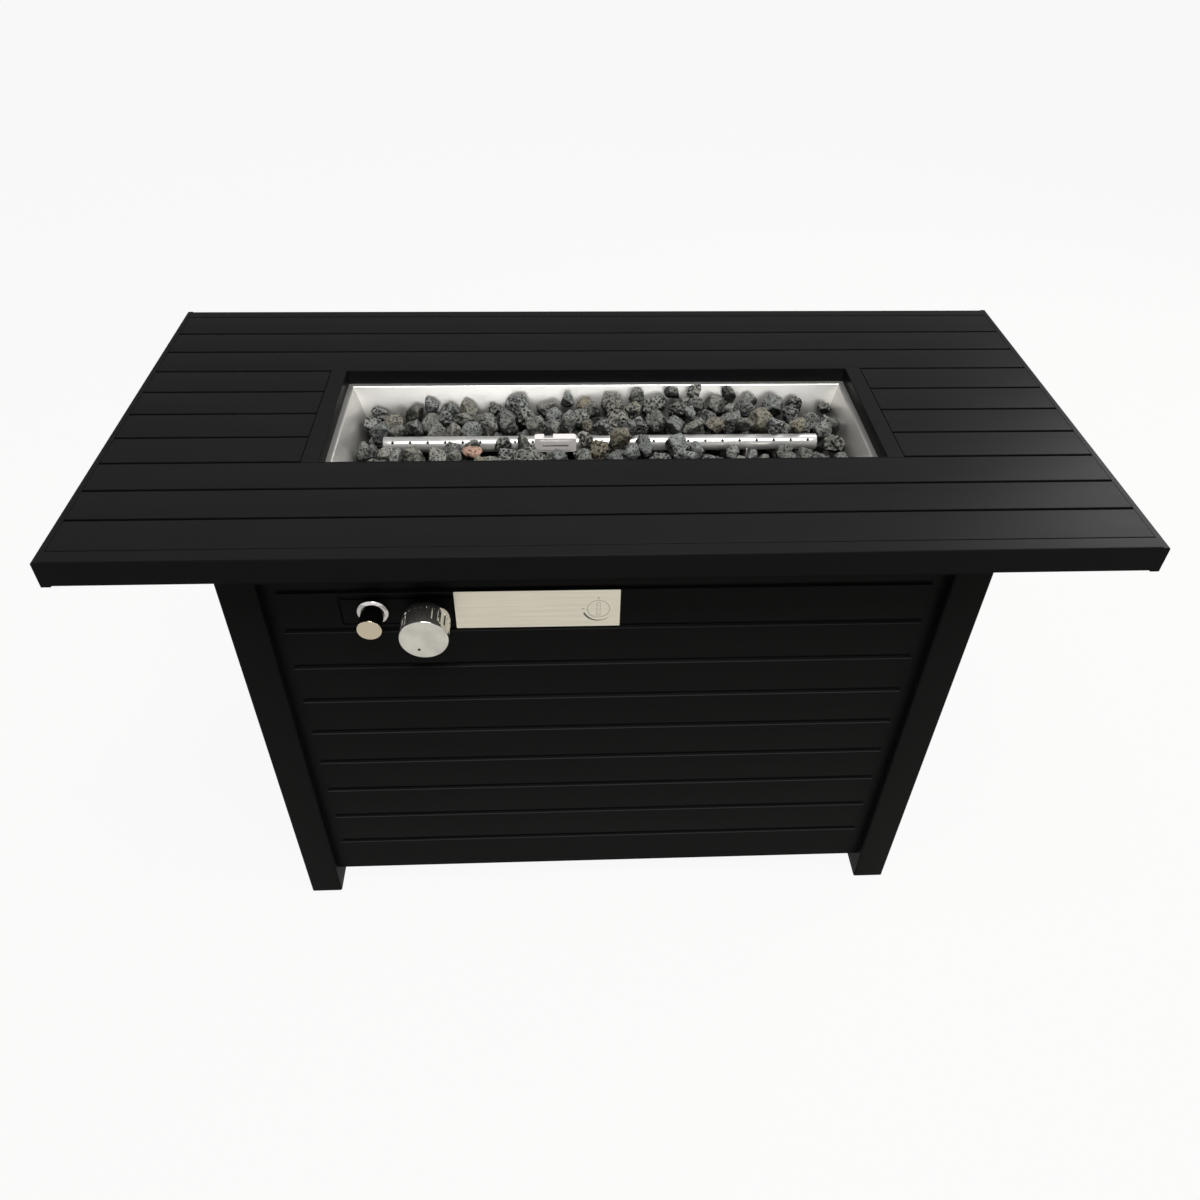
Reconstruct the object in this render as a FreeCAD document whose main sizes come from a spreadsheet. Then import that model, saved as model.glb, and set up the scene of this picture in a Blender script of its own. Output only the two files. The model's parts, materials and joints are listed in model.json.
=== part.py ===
import FreeCAD, Part
import math
import operator
import os
import random
import Sketcher
from FreeCAD import Placement, Rotation, Vector

# Gas fire pit table: a slatted steel top on a cabinet base, with a lava rock burner.
# Millimetres, +X to the right, +Y to the back, +Z up, origin on the floor under the middle.

sizes = {
    # Table top
    "tableLength": 1067.0,
    "tableDepth": 521.0,
    "tableHeight": 625.0,
    "fasciaHeight": 28.0,
    "topSheet": 1.5,
    "edgeRadius": 2.0,
    "endRailWidth": 7.0,
    "endRailDrop": 1.5,
    "endRailLip": 9.0,
    "endSeam": 0.5,
    "slatPitch": 49.0,
    "slatGap": 3.0,
    "slatSheet": 1.2,
    "slatDrop": 12.0,
    "slatRadius": 1.0,
    "edgeSeam": 1.0,
    "longRows": 3,
    "shortRows": 4,
    "openingLength": 604.0,
    "openingDepth": 196.0,
    "collarDrop": 16.0,
    "collarFlange": 12.0,
    "endFlange": 16.5,
    "frameBar": 30.0,
    "frameWall": 1.5,
    "barClearance": 1.5,
    # Cabinet base
    "baseLength": 793.4,
    "baseDepth": 431.3,
    "postSize": 40.0,
    "postWall": 1.5,
    "postRadius": 2.5,
    "glideHeight": 4.0,
    "glideRadius": 12.0,
    "glideRim": 1.5,
    "glidePlug": 12.0,
    "glideFit": 0.2,
    "panelRecess": 14.0,
    "panelBottom": 38.5,
    "panelSheet": 1.2,
    "panelFlange": 15.0,
    "grooveCount": 9,
    "groovePitch": 54.4,
    "grooveFirst": 95.0,
    "grooveHeight": 10.0,
    "grooveDepth": 3.0,
    "grooveLip": 2.5,
    "grooveRoot": 0.6,
    "grooveMargin": 10.7,
    "traySheet": 1.5,
    "trayEdge": 20.0,
    "trayClearance": 0.3,
    "trayBackGap": 17.0,
    "cylinderSeat": 216.0,
    "cylinderRim": 5.5,
    "cylinderPlace": 170.0,
    # Back door
    "doorGap": 2.0,
    "hingeRadius": 3.2,
    "hingeHalf": 20.0,
    "hingeLeaf": 1.2,
    "hingeReach": 24.0,
    "hingePin": 2.0,
    "hingePinRise": 14.0,
    "hingeClearance": 0.05,
    "hingeGap": 0.2,
    "hingeRow": 1.5,
    "hingeSpan": 5,
    "pullRow": 5.5,
    "pullRadius": 12.0,
    "pullLength": 18.0,
    "pullNeck": 5.0,
    "pullNeckLength": 9.0,
    "pullFlare": 1.8,
    "pullInset": 34.0,
    "magnetLength": 40.0,
    "magnetDepth": 14.0,
    "magnetHeight": 12.0,
    "magnetGap": 0.3,
    "magnetSlot": 3.0,
    # Control recess
    "cutoutLength": 120.0,
    "cutoutHeight": 40.0,
    "cutoutRight": -162.0,
    "cutoutRadius": 4.0,
    "controlHeight": 507.5,
    "plateSheet": 1.5,
    "plateOverlap": 12.0,
    "plateBoss": 0.8,
    "plateFit": 0.3,
    "plateGapSide": 2.5,
    "plateGapTop": 5.0,
    "plateGapBottom": 1.5,
    "labelLength": 174.0,
    "labelHeight": 51.0,
    "labelSheet": 0.8,
    "labelRadius": 1.0,
    # Control knob and valve
    "knobAxis": -190.5,
    "knobRadius": 25.3,
    "knobLength": 30.0,
    "knobFace": 46.3,
    "knobWall": 2.0,
    "knobCrown": 10.0,
    "knobRound": 1.5,
    "knobHub": 7.0,
    "knobSocket": 18.0,
    "fluteCount": 24,
    "fluteRadius": 2.4,
    "fluteDepth": 0.9,
    "fluteStart": 7.0,
    "fluteLength": 16.5,
    "markRadius": 1.6,
    "markPlace": 15.5,
    "markAngle": 23.0,
    "markDepth": 0.8,
    "stemRadius": 4.0,
    "stemFit": 0.02,
    "stemClearance": 0.05,
    "stemLength": 57.5,
    "stemGap": 0.3,
    "stemBoreLength": 39.6,
    "pushTravel": 3.0,
    "pushCollarRadius": 6.0,
    "pushCollarLength": 12.0,
    "bonnetRadius": 9.0,
    "bonnetLength": 12.0,
    "plateHoleFit": 0.3,
    "valveWidth": 30.0,
    "valveDepth": 38.0,
    "valveHeight": 34.0,
    "inletRadius": 7.94,
    "inletLength": 18.0,
    "inletNut": 11.0,
    "inletNutLength": 6.0,
    "inletBore": 4.0,
    "portRadius": 7.0,
    "portLength": 6.0,
    "outletPlace": 26.6,
    "probePortRadius": 4.9,
    "boreOverrun": 1.0,
    # Push igniter
    "igniterAxis": -247.4,
    "igniterFace": 31.0,
    "capRadius": 13.0,
    "capLength": 4.0,
    "capRound": 1.2,
    "barrelRadius": 12.2,
    "barrelLength": 39.0,
    "barrelWall": 3.0,
    "barrelBore": 25.0,
    "buttonTravel": 4.0,
    "bezelRadius": 16.5,
    "bezelLength": 6.0,
    "bezelRound": 2.5,
    "bezelThread": 13.5,
    "bezelSpare": 6.4,
    "bezelClearance": 0.1,
    "igniterRadius": 17.0,
    "igniterLength": 75.0,
    "igniterRear": 3.0,
    "batteryRadius": 7.25,
    "batteryLength": 49.5,
    "batteryNub": 2.75,
    "batteryNubLength": 1.0,
    "batteryFit": 0.2,
    "springRadius": 4.5,
    "springWire": 0.5,
    "springTurns": 5,
    # Burner
    "panFlange": 10.0,
    "panInset": 6.0,
    "panBend": 3.0,
    "panSheet": 1.0,
    "panDepth": 54.5,
    "panSlope": 0.35,
    "tubeLength": 502.0,
    "tubeRadius": 9.0,
    "tubeWall": 1.0,
    "tubeHeight": 30.0,
    "tubeRound": 1.0,
    "portCount": 25,
    "portPitch": 20.0,
    "portHole": 1.25,
    "portRise": 45.0,
    "bracketPlace": 170.0,
    "bracketSheet": 2.0,
    "bracketWidth": 17.0,
    "bracketFoot": 12.0,
    "stubRadius": 8.0,
    "stubDrop": 46.0,
    "hoodPlace": -53.75,
    "hoodLength": 47.5,
    "hoodSheet": 0.8,
    "hoodReach": 18.0,
    "hoodRise": 17.3,
    "hoodDrop": 17.3,
    "hoodRear": 7.2,
    "hoodSlot": 29.0,
    "hoodSlotHeight": 1.5,
    "hoodNotch": 10.3,
    "hoodNotchDepth": 8.5,
    "hoodNotchPlace": -7.7,
    "hoodCorner": 4.0,
    "hoodEmboss": 0.5,
    "hoodEmbossLength": 36.0,
    "hoodEmbossHeight": 12.0,
    "hoodGap": 0.2,
    "electrodePlace": -62.0,
    "electrodeRadius": 2.4,
    "electrodeRod": 0.8,
    "electrodeRise": 27.0,
    "electrodeTip": 9.0,
    "electrodeTail": 16.0,
    "probePlace": -45.0,
    "probeRadius": 2.2,
    "probeRise": 35.0,
    "probeRound": 1.3,
    "probeTail": 12.0,
    "probeOffset": 13.2,
    "collarRing": 2.0,
    "collarRingHeight": 2.0,
    "passFit": 0.2,
    "mixerRadius": 12.0,
    "mixerLength": 30.0,
    "mixerLap": 8.0,
    "mixerFit": 0.1,
    "mixerFloor": 1.5,
    "mixerWindowRise": 3.0,
    "mixerWindow": 7.0,
    "mixerWindowHeight": 12.0,
    "orificeSize": 18.0,
    "pipeRadius": 4.75,
    "pipeWall": 1.0,
    "lineRadius": 1.1,
    "leadRadius": 1.5,
    "leadStep": 22.0,
    # Screws and bolts
    "screwRadius": 2.5,
    "screwHead": 5.2,
    "screwHeadHeight": 3.6,
    "screwDome": 2.1,
    "screwLength": 8.0,
    "screwFit": 0.2,
    "boltRadius": 3.0,
    "boltHead": 5.0,
    "boltHeadHeight": 4.0,
    "boltDome": 2.0,
    "boltRise": 12.0,
    "boltFit": 0.3,
    "boltInset": 5.7,
    # Lava rocks
    "rockSeed": 23,
    "rockLargest": 20.5,
    "rockUsual": 12.5,
    "rockSmallest": 9.5,
    "rockGap": 0.3,
    "rockCount": 240,
    "rockTries": 60,
    "rockBigMisses": 10,
    "rockContact": 1.0,
    "rockCorners": 15,
    "rockSpacing": 0.35,
    "rockTwist": 0.3,
    "rockFlattest": 0.86,
    "heapFront": 57.0,
    "heapBack": 50.0,
    "heapSwell": 15.0,
    "heapSwellPlace": 90.0,
    "heapSwellSpread": 190.0,
    "heapEnd": 45.0,
    "heapFall": 50.0,
    "heapHollow": 16.0,
    "heapHollowStart": 95.0,
}

doc = FreeCAD.newDocument("FirePitTable")
sheet = doc.addObject("Spreadsheet::Sheet", "dims")
for row, name in enumerate(sizes, start=1):
    sheet.set("A%d" % row, name)
    sheet.set("B%d" % row, str(sizes[name]))
    sheet.setAlias("B%d" % row, name)
doc.recompute()

joiners = {"+": operator.add, "-": operator.sub, "*": operator.mul, "/": operator.truediv}


# A number kept together with the expression that gives it from the sheet.
class Size:
    def __init__(self, value, text):
        self.value = value
        self.text = text

    def __add__(self, other):
        return joined(self, "+", other)

    def __radd__(self, other):
        return joined(other, "+", self)

    def __sub__(self, other):
        return joined(self, "-", other)

    def __rsub__(self, other):
        return joined(other, "-", self)

    def __mul__(self, other):
        return joined(self, "*", other)

    def __rmul__(self, other):
        return joined(other, "*", self)

    def __truediv__(self, other):
        return joined(self, "/", other)

    def __neg__(self):
        return joined(-1, "*", self)


def asSize(item):
    if isinstance(item, Size):
        return item
    return Size(float(item), "(%r)" % float(item))


def joined(left, sign, right):
    left = asSize(left)
    right = asSize(right)
    value = joiners[sign](left.value, right.value)
    return Size(value, "(%s %s %s)" % (left.text, sign, right.text))


class Driving:
    def __getattr__(self, name):
        return Size(sizes[name], "dims." + name)


d = Driving()
subparts = []


def keep(item):
    subparts.append(item)
    return item


def bind(item, name, amount):
    item.setExpression(name, asSize(amount).text)


def place(item, x=0, y=0, z=0, turn=0):
    item.Placement = Placement(Vector(0, 0, 0), Rotation(Vector(0, 0, 1), turn))
    for axis, amount in zip("xyz", (x, y, z)):
        bind(item, "Placement.Base." + axis, amount)
    return item


def newBody(label):
    return keep(doc.addObject("PartDesign::Body", label))


def originPlane(body, role):
    return [item for item in body.Origin.OriginFeatures if item.Role == role][0]


# Sketches lie on the body's own origin planes, shifted along the plane's normal.
def newSketch(body, role, shift=None, tilt=0):
    sketch = body.newObject("Sketcher::SketchObject", "sketch")
    sketch.AttachmentSupport = [(originPlane(body, role), "")]
    sketch.MapMode = "FlatFace"
    if tilt:
        sketch.AttachmentOffset = Placement(Vector(0, 0, 0), Rotation(Vector(1, 0, 0), tilt))
    if shift is not None:
        bind(sketch, "AttachmentOffset.Base.z", shift)
    return sketch


def holdPoint(sketch, geometry, position, x, y):
    for kind, measure in (("DistanceX", asSize(x)), ("DistanceY", asSize(y))):
        rule = Sketcher.Constraint(kind, -1, 1, geometry, position, measure.value)
        number = sketch.addConstraint(rule)
        title = "%s%d" % (kind[-1].lower(), number)
        sketch.renameConstraint(number, title)
        bind(sketch, "Constraints." + title, measure)


def addOutline(sketch, corners):
    first = sketch.GeometryCount
    count = len(corners)
    points = [Vector(asSize(x).value, asSize(y).value, 0) for x, y in corners]
    for index in range(count):
        sketch.addGeometry(Part.LineSegment(points[index], points[(index + 1) % count]), False)
    for index in range(count):
        following = first + (index + 1) % count
        sketch.addConstraint(Sketcher.Constraint("Coincident", first + index, 2, following, 1))
    for index in range(count):
        holdPoint(sketch, first + index, 1, corners[index][0], corners[index][1])


def addRectangle(sketch, left, bottom, right, top):
    addOutline(sketch, [(left, bottom), (right, bottom), (right, top), (left, top)])


def addCentred(sketch, width, height):
    addRectangle(sketch, -width / 2, -height / 2, width / 2, height / 2)


def addCircle(sketch, x, y, radius):
    middle = Vector(asSize(x).value, asSize(y).value, 0)
    circle = Part.Circle(middle, Vector(0, 0, 1), asSize(radius).value)
    number = sketch.addGeometry(circle, False)
    holdPoint(sketch, number, 3, x, y)
    rule = sketch.addConstraint(Sketcher.Constraint("Radius", number, asSize(radius).value))
    title = "radius%d" % rule
    sketch.renameConstraint(rule, title)
    bind(sketch, "Constraints." + title, radius)


def extrude(kind, body, sketch, length, symmetric=False, reverse=False):
    feature = body.newObject("PartDesign::" + kind, kind.lower())
    feature.Profile = sketch
    bind(feature, "Length", length)
    if symmetric:
        feature.SideType = "Symmetric"
    feature.Reversed = reverse
    body.Tip = feature
    return feature


def pad(body, sketch, length, symmetric=False, reverse=False):
    return extrude("Pad", body, sketch, length, symmetric, reverse)


def pocket(body, sketch, length, symmetric=False, reverse=False):
    return extrude("Pocket", body, sketch, length, symmetric, reverse)


def revolve(body, corners, role="XY_Plane"):
    sketch = newSketch(body, role)
    addOutline(sketch, corners)
    feature = body.newObject("PartDesign::Revolution", "revolution")
    feature.Profile = sketch
    feature.ReferenceAxis = (sketch, ["V_Axis"])
    feature.Angle = 360
    body.Tip = feature
    return feature


# Rounds the edges whose middle and direction the test accepts.
def roundEdges(body, radius, wanted):
    doc.recompute()
    base = body.Tip
    names = []
    for index, edge in enumerate(base.Shape.Edges, start=1):
        ends = edge.FirstParameter, edge.LastParameter
        middle = edge.valueAt((ends[0] + ends[1]) / 2)
        direction = edge.tangentAt((ends[0] + ends[1]) / 2)
        if wanted(edge, middle, direction):
            names.append("Edge%d" % index)
    feature = body.newObject("PartDesign::Fillet", "fillet")
    feature.Base = (base, names)
    bind(feature, "Radius", radius)
    body.Tip = feature
    return feature


def near(one, other, within=0.01):
    return abs(one - other) < within


def box(x, y, z, length, depth, height):
    item = doc.addObject("Part::Box", "box")
    bind(item, "Length", length)
    bind(item, "Width", depth)
    bind(item, "Height", height)
    return place(item, x, y, z)


turns = {
    "+X": Rotation(Vector(0, 1, 0), 90),
    "+Y": Rotation(Vector(1, 0, 0), -90),
    "-Y": Rotation(Vector(1, 0, 0), 90),
    "+Z": Rotation(),
    "-Z": Rotation(Vector(1, 0, 0), 180),
}


def rod(x, y, z, radius, length, heading="+Z"):
    item = doc.addObject("Part::Cylinder", "rod")
    bind(item, "Radius", radius)
    bind(item, "Height", length)
    item.Placement = Placement(Vector(0, 0, 0), turns[heading])
    for axis, amount in zip("xyz", (x, y, z)):
        bind(item, "Placement.Base." + axis, amount)
    return item


def spot(x, y, z):
    return Vector(asSize(x).value, asSize(y).value, asSize(z).value)


def fused(items, label="fused"):
    if len(items) == 1:
        return items[0]
    item = doc.addObject("Part::MultiFuse", label)
    item.Shapes = items
    item.Refine = True
    return item


def cutFrom(solid, tools, label="cut"):
    item = doc.addObject("Part::Cut", label)
    item.Base = solid
    item.Tool = fused(tools)
    return item


def shapePart(label, shape):
    item = doc.addObject("Part::Feature", label)
    item.Shape = shape
    return keep(item)


# Heights and faces that several pieces share.
railTop = d.tableHeight - d.fasciaHeight
frameTop = d.tableHeight - d.slatDrop
frameBarHeight = frameTop - railTop
halfLength = d.tableLength / 2
halfDepth = d.tableDepth / 2
topEnd = halfLength - d.endRailWidth
slatWidth = d.slatPitch - d.slatGap
slatHalf = topEnd - d.endSeam
openingHalf = d.openingLength / 2
openingSide = d.openingDepth / 2
collarOuter = openingHalf + d.topSheet
collarSide = openingSide + d.topSheet
stripEnd = collarOuter + d.endFlange
shortStart = stripEnd + d.edgeSeam
ledgeTop = d.tableHeight - d.collarDrop - d.topSheet
postX = (d.baseLength - d.postSize) / 2
postY = (d.baseDepth - d.postSize) / 2
clearX = d.baseLength / 2 - d.postSize
clearY = d.baseDepth / 2 - d.postSize
railBottom = railTop - d.postSize
panelFace = d.baseDepth / 2 - d.panelRecess
sideFace = d.baseLength / 2 - d.panelRecess
panelHeight = railBottom - d.panelBottom
trayBottom = d.panelBottom + d.panelSheet
trayTop = trayBottom + d.traySheet
plateFront = -panelFace + d.panelSheet
plateBack = plateFront + d.plateSheet
cutoutLeft = d.cutoutRight - d.cutoutLength
cutoutMiddle = d.cutoutRight - d.cutoutLength / 2
cutoutBottom = d.controlHeight - d.cutoutHeight / 2
boltY = clearY + d.boltInset
innerBarX = stripEnd - d.barClearance + d.frameBar / 2
screwY = panelFace - d.panelFlange / 2
sideScrewX = sideFace - d.panelFlange / 2


# Table top

# End rail: a folded channel that closes the slats' ends, with a lip under the fascia's line.
def endRail(label, turn):
    body = newBody(label)
    bottom = railTop - d.endRailDrop
    outer = halfLength
    inner = topEnd
    profile = newSketch(body, "XZ_Plane")
    addOutline(profile, [
        (outer, bottom), (outer, d.tableHeight), (inner, d.tableHeight),
        (inner, railTop), (outer - d.endRailLip, railTop), (outer - d.endRailLip, bottom),
    ])
    pad(body, profile, d.tableDepth, symmetric=True)
    hollow = newSketch(body, "YZ_Plane", inner)
    reach = halfDepth - d.topSheet
    addRectangle(hollow, -reach, railTop, reach, d.tableHeight - d.topSheet)
    pocket(body, hollow, d.endRailWidth - d.topSheet, reverse=True)
    corner = outer.value, d.tableHeight.value
    roundEdges(body, d.edgeRadius, lambda edge, middle, way: (
        near(abs(way.y), 1) and near(middle.x, corner[0]) and near(middle.z, corner[1])))
    place(body, turn=turn)


endRail("end_rail_right", 0)
endRail("end_rail_left", 180)


# Edge rail: fascia, top strip and an inner leg that stands on the frame.
def edgeRail(label, turn):
    body = newBody(label)
    outer = -halfDepth
    wall = d.topSheet
    rows = d.shortRows / 2 + d.longRows
    strip = -(d.slatPitch * rows - d.slatGap / 2 + d.edgeSeam)
    top = d.tableHeight
    profile = newSketch(body, "YZ_Plane")
    addOutline(profile, [
        (outer, railTop), (outer, top), (strip, top), (strip, frameTop),
        (strip - d.slatSheet, frameTop), (strip - d.slatSheet, top - wall),
        (outer + wall, top - wall), (outer + wall, railTop),
    ])
    pad(body, profile, topEnd * 2, symmetric=True)
    roundEdges(body, d.edgeRadius, lambda edge, middle, way: (
        near(abs(way.x), 1) and near(middle.y, outer.value) and near(middle.z, top.value)))
    place(body, turn=turn)


edgeRail("front_edge_rail", 0)
edgeRail("back_edge_rail", 180)


# Slat: an inverted folded channel that stands on the frame's bars.
def slat(label, start, length, y):
    body = newBody(label)
    half = slatWidth / 2
    wall = d.slatSheet
    profile = newSketch(body, "YZ_Plane")
    addOutline(profile, [
        (-half, 0), (-half, d.slatDrop), (half, d.slatDrop), (half, 0),
        (half - wall, 0), (half - wall, d.slatDrop - wall),
        (wall - half, d.slatDrop - wall), (wall - half, 0),
    ])
    pad(body, profile, length)
    top = d.slatDrop.value
    roundEdges(body, d.slatRadius, lambda edge, middle, way: (
        near(abs(way.x), 1) and near(middle.z, top) and near(abs(middle.y), half.value)))
    place(body, start, y, frameTop)


for row in range(sizes["longRows"]):
    offset = d.slatPitch * (d.shortRows / 2 + row + 0.5)
    slat("long_slat_front_%d" % (row + 1), -slatHalf, slatHalf * 2, -offset)
    slat("long_slat_back_%d" % (row + 1), -slatHalf, slatHalf * 2, offset)
for row in range(sizes["shortRows"]):
    offset = d.slatPitch * (row - d.shortRows / 2 + 0.5)
    slat("short_slat_left_%d" % (row + 1), -slatHalf, slatHalf - shortStart, offset)
    slat("short_slat_right_%d" % (row + 1), shortStart, slatHalf - shortStart, offset)


# Opening collar: a deep folded wall with an outward ledge for the pan and a flange at each end.
def openingCollar():
    body = newBody("opening_collar")
    wall = newSketch(body, "XY_Plane", ledgeTop)
    addCentred(wall, collarOuter * 2, collarSide * 2)
    addCentred(wall, d.openingLength, d.openingDepth)
    pad(body, wall, d.tableHeight - ledgeTop)
    ring = newSketch(body, "XY_Plane", ledgeTop)
    addCentred(ring, (collarOuter + d.collarFlange) * 2, (collarSide + d.collarFlange) * 2)
    addCentred(ring, d.openingLength, d.openingDepth)
    pad(body, ring, d.topSheet)
    for side in (-1, 1):
        flange = newSketch(body, "XY_Plane", d.tableHeight - d.topSheet)
        ends = [collarOuter * side, stripEnd * side]
        addRectangle(flange, ends[0], -collarSide, ends[1], collarSide)
        pad(body, flange, d.topSheet)
        leg = newSketch(body, "XY_Plane", frameTop)
        addRectangle(leg, (stripEnd - d.topSheet) * side, -collarSide, ends[1], collarSide)
        pad(body, leg, d.slatDrop)
    holes = newSketch(body, "XY_Plane", ledgeTop)
    for x, y in panScrews():
        addCircle(holes, x, y, d.screwRadius + d.screwFit)
    pocket(body, holes, d.topSheet, reverse=True)
    limits = openingHalf.value, openingSide.value, d.tableHeight.value
    roundEdges(body, d.slatRadius, lambda edge, middle, way: (
        near(middle.z, limits[2]) and (
            near(abs(middle.x), limits[0]) and near(abs(way.y), 1)
            or near(abs(middle.y), limits[1]) and near(abs(way.x), 1))))


def panScrews():
    side = collarSide + d.screwHead + d.screwFit * 2
    end = collarOuter + d.screwHead + d.screwFit * 2
    third = openingHalf * 2 / 3
    return [(-third, -side), (third, -side), (-third, side), (third, side), (-end, 0), (end, 0)]


openingCollar()


# Welded frame of rectangular tubes under the slats: four right across with open ends, and
# shorter ones between them.
def topFrame():
    bar = d.frameBar
    wall = d.frameWall
    outerBarX = topEnd - bar / 2
    longBarY = clearY + bar / 2
    nearBarY = collarSide + d.collarFlange + d.barClearance + bar / 2
    across = (halfDepth - d.topSheet) * 2
    outside = outerBarX - innerBarX - bar
    inside = innerBarX * 2 - bar
    tubes = []

    def tube(x, y, length, depth, openX, holes):
        hollowLength = length + wall * 2 * openX
        hollowDepth = depth - wall * 2 * openX
        outer = box(x - length / 2, y - depth / 2, railTop, length, depth, frameBarHeight)
        inner = box(x - hollowLength / 2, y - hollowDepth / 2, railTop + wall,
                    hollowLength, hollowDepth, frameBarHeight - wall * 2)
        tubes.append(cutFrom(outer, [inner] + holes, "tube"))

    for side in (-1, 1):
        holes = [rod(x, y, railTop - wall, d.boltRadius + d.boltFit, wall * 3)
                 for x, y in boltPlaces() if x.value * side > 0]
        tube(outerBarX * side, asSize(0), bar, across, -1, [])
        tube(innerBarX * side, asSize(0), bar, across, -1, holes)
        tube(asSize(0), nearBarY * side, inside, bar, 1, [])
        tube(asSize(0), longBarY * side, inside, bar, 1, [])
        for end in (-1, 1):
            tube((outerBarX + innerBarX) / 2 * end, longBarY * side, outside, bar, 1, [])
    frameTubes = doc.addObject("Part::Compound", "top_frame")
    frameTubes.Links = tubes
    keep(frameTubes)


def boltPlaces():
    return [(innerBarX * across, boltY * along) for across in (-1, 1) for along in (-1, 1)]


topFrame()


# Cabinet base

def post(label, across, along):
    body = newBody(label)
    section = newSketch(body, "XY_Plane")
    inner = d.postSize - d.postWall * 2
    addCentred(section, d.postSize, d.postSize)
    addCentred(section, inner, inner)
    pad(body, section, railTop - d.glideHeight)
    half = d.postSize.value / 2
    roundEdges(body, d.postRadius, lambda edge, middle, way: (
        near(abs(way.z), 1) and near(abs(middle.x), half) and near(abs(middle.y), half)))
    place(body, postX * across, postY * along, d.glideHeight)


for depthName, along in (("front", -1), ("back", 1)):
    for sideName, across in (("left", -1), ("right", 1)):
        post("post_%s_%s" % (depthName, sideName), across, along)


# Foot glides: a plug inside each post, a thin rim under it and a low round pad.
def footGlides():
    rim = d.glideRim.value
    plug = (d.postSize - d.postWall * 2 - d.glideFit * 2).value
    rimSize = (d.postSize - d.postRadius * 2).value
    height = d.glideHeight.value
    padHeight = height - rim
    glides = []
    for across in (-1, 1):
        for along in (-1, 1):
            middle = Vector((postX * across).value, (postY * along).value, 0)
            foot = Part.makeCone(
                d.glideRadius.value - padHeight / 2, d.glideRadius.value, padHeight, middle)
            corner = middle + Vector(-rimSize / 2, -rimSize / 2, padHeight)
            foot = foot.fuse(Part.makeBox(rimSize, rimSize, rim, corner))
            corner = middle + Vector(-plug / 2, -plug / 2, height)
            foot = foot.fuse(Part.makeBox(plug, plug, d.glidePlug.value, corner))
            glides.append(foot.removeSplitter())
    shapePart("foot_glides", Part.makeCompound(glides))


footGlides()


# Top rail: square tube between two posts, flush with them.
def topRail(label, length, x, y, turn, bolts):
    body = newBody(label)
    section = newSketch(body, "YZ_Plane")
    inner = d.postSize - d.postWall * 2
    addCentred(section, d.postSize, d.postSize)
    addCentred(section, inner, inner)
    pad(body, section, length, symmetric=True)
    if bolts:
        holes = newSketch(body, "XY_Plane")
        for side in (-1, 1):
            addCircle(holes, innerBarX * side, d.postSize / 2 - d.boltInset, d.boltRadius + d.boltFit)
        pocket(body, holes, d.postSize * 2, symmetric=True)
    place(body, x, y, railTop - d.postSize / 2, turn)


topRail("top_rail_front", clearX * 2, 0, -postY, 0, True)
topRail("top_rail_back", clearX * 2, 0, postY, 180, True)
topRail("top_rail_left", clearY * 2, -postX, 0, 90, False)
topRail("top_rail_right", clearY * 2, postX, 0, 90, False)


# Grooved panel: a folded tray of thin sheet. Each pressed groove has a long upper slope, a
# short lower lip and tapered ends, and shows as a ridge on the back. The face looks along -Y.
def groovedPanel(label, width, height):
    body = newBody(label)
    half = width / 2
    sheetWall = d.panelSheet
    outline = newSketch(body, "XZ_Plane")
    addRectangle(outline, -half, 0, half, height)
    pad(body, outline, d.panelFlange, reverse=True)
    inside = newSketch(body, "XZ_Plane", -sheetWall)
    addRectangle(inside, sheetWall - half, sheetWall, half - sheetWall, height - sheetWall)
    pocket(body, inside, d.panelFlange - sheetWall)
    first = d.grooveFirst - d.panelBottom
    reach = half - d.grooveMargin
    shapes = []
    for kind, extra in (("AdditiveWedge", sheetWall), ("SubtractiveWedge", asSize(0))):
        wedge = body.newObject("PartDesign::" + kind, "groove")
        amounts = {
            "Xmin": -reach - extra, "Xmax": reach + extra,
            "Zmin": first - extra, "Zmax": first + d.grooveHeight + extra,
            "Ymin": extra, "Ymax": d.grooveDepth + extra,
            "X2min": d.grooveDepth * 2 - reach - extra, "X2max": reach - d.grooveDepth * 2 + extra,
            "Z2min": first + d.grooveLip - extra / 2,
            "Z2max": first + d.grooveLip + d.grooveRoot + extra / 2,
        }
        for name, amount in amounts.items():
            bind(wedge, name, amount)
        body.Tip = wedge
        shapes.append(wedge)
    rows = body.newObject("PartDesign::LinearPattern", "grooves")
    rows.Originals = shapes
    rows.Direction = (outline, ["V_Axis"])
    rows.Mode = "Extent"
    bind(rows, "Length", d.groovePitch * (d.grooveCount - 1))
    bind(rows, "Occurrences", d.grooveCount)
    body.Tip = rows
    return body


def panelHoles(body, role, shift, length, places, radius, reverse=False):
    holes = newSketch(body, role, shift)
    for x, y in places:
        addCircle(holes, x, y, radius)
    pocket(body, holes, length, reverse=reverse)


def frontPanel():
    body = groovedPanel("front_panel", clearX * 2, panelHeight)
    opening = newSketch(body, "XZ_Plane")
    bottom = cutoutBottom - d.panelBottom
    addRectangle(opening, cutoutLeft, bottom, d.cutoutRight, bottom + d.cutoutHeight)
    pocket(body, opening, d.panelFlange * 2, symmetric=True)
    low = bottom.value
    ends = cutoutLeft.value, d.cutoutRight.value
    roundEdges(body, d.cutoutRadius, lambda edge, middle, way: (
        near(abs(way.y), 1) and near(middle.z, low)
        and (near(middle.x, ends[0]) or near(middle.x, ends[1]))))
    places = [(0, d.panelFlange / 2)]
    panelHoles(body, "XY_Plane", 0, d.panelSheet, places, d.screwRadius + d.screwFit, True)
    place(body, 0, -panelFace, d.panelBottom)


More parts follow.
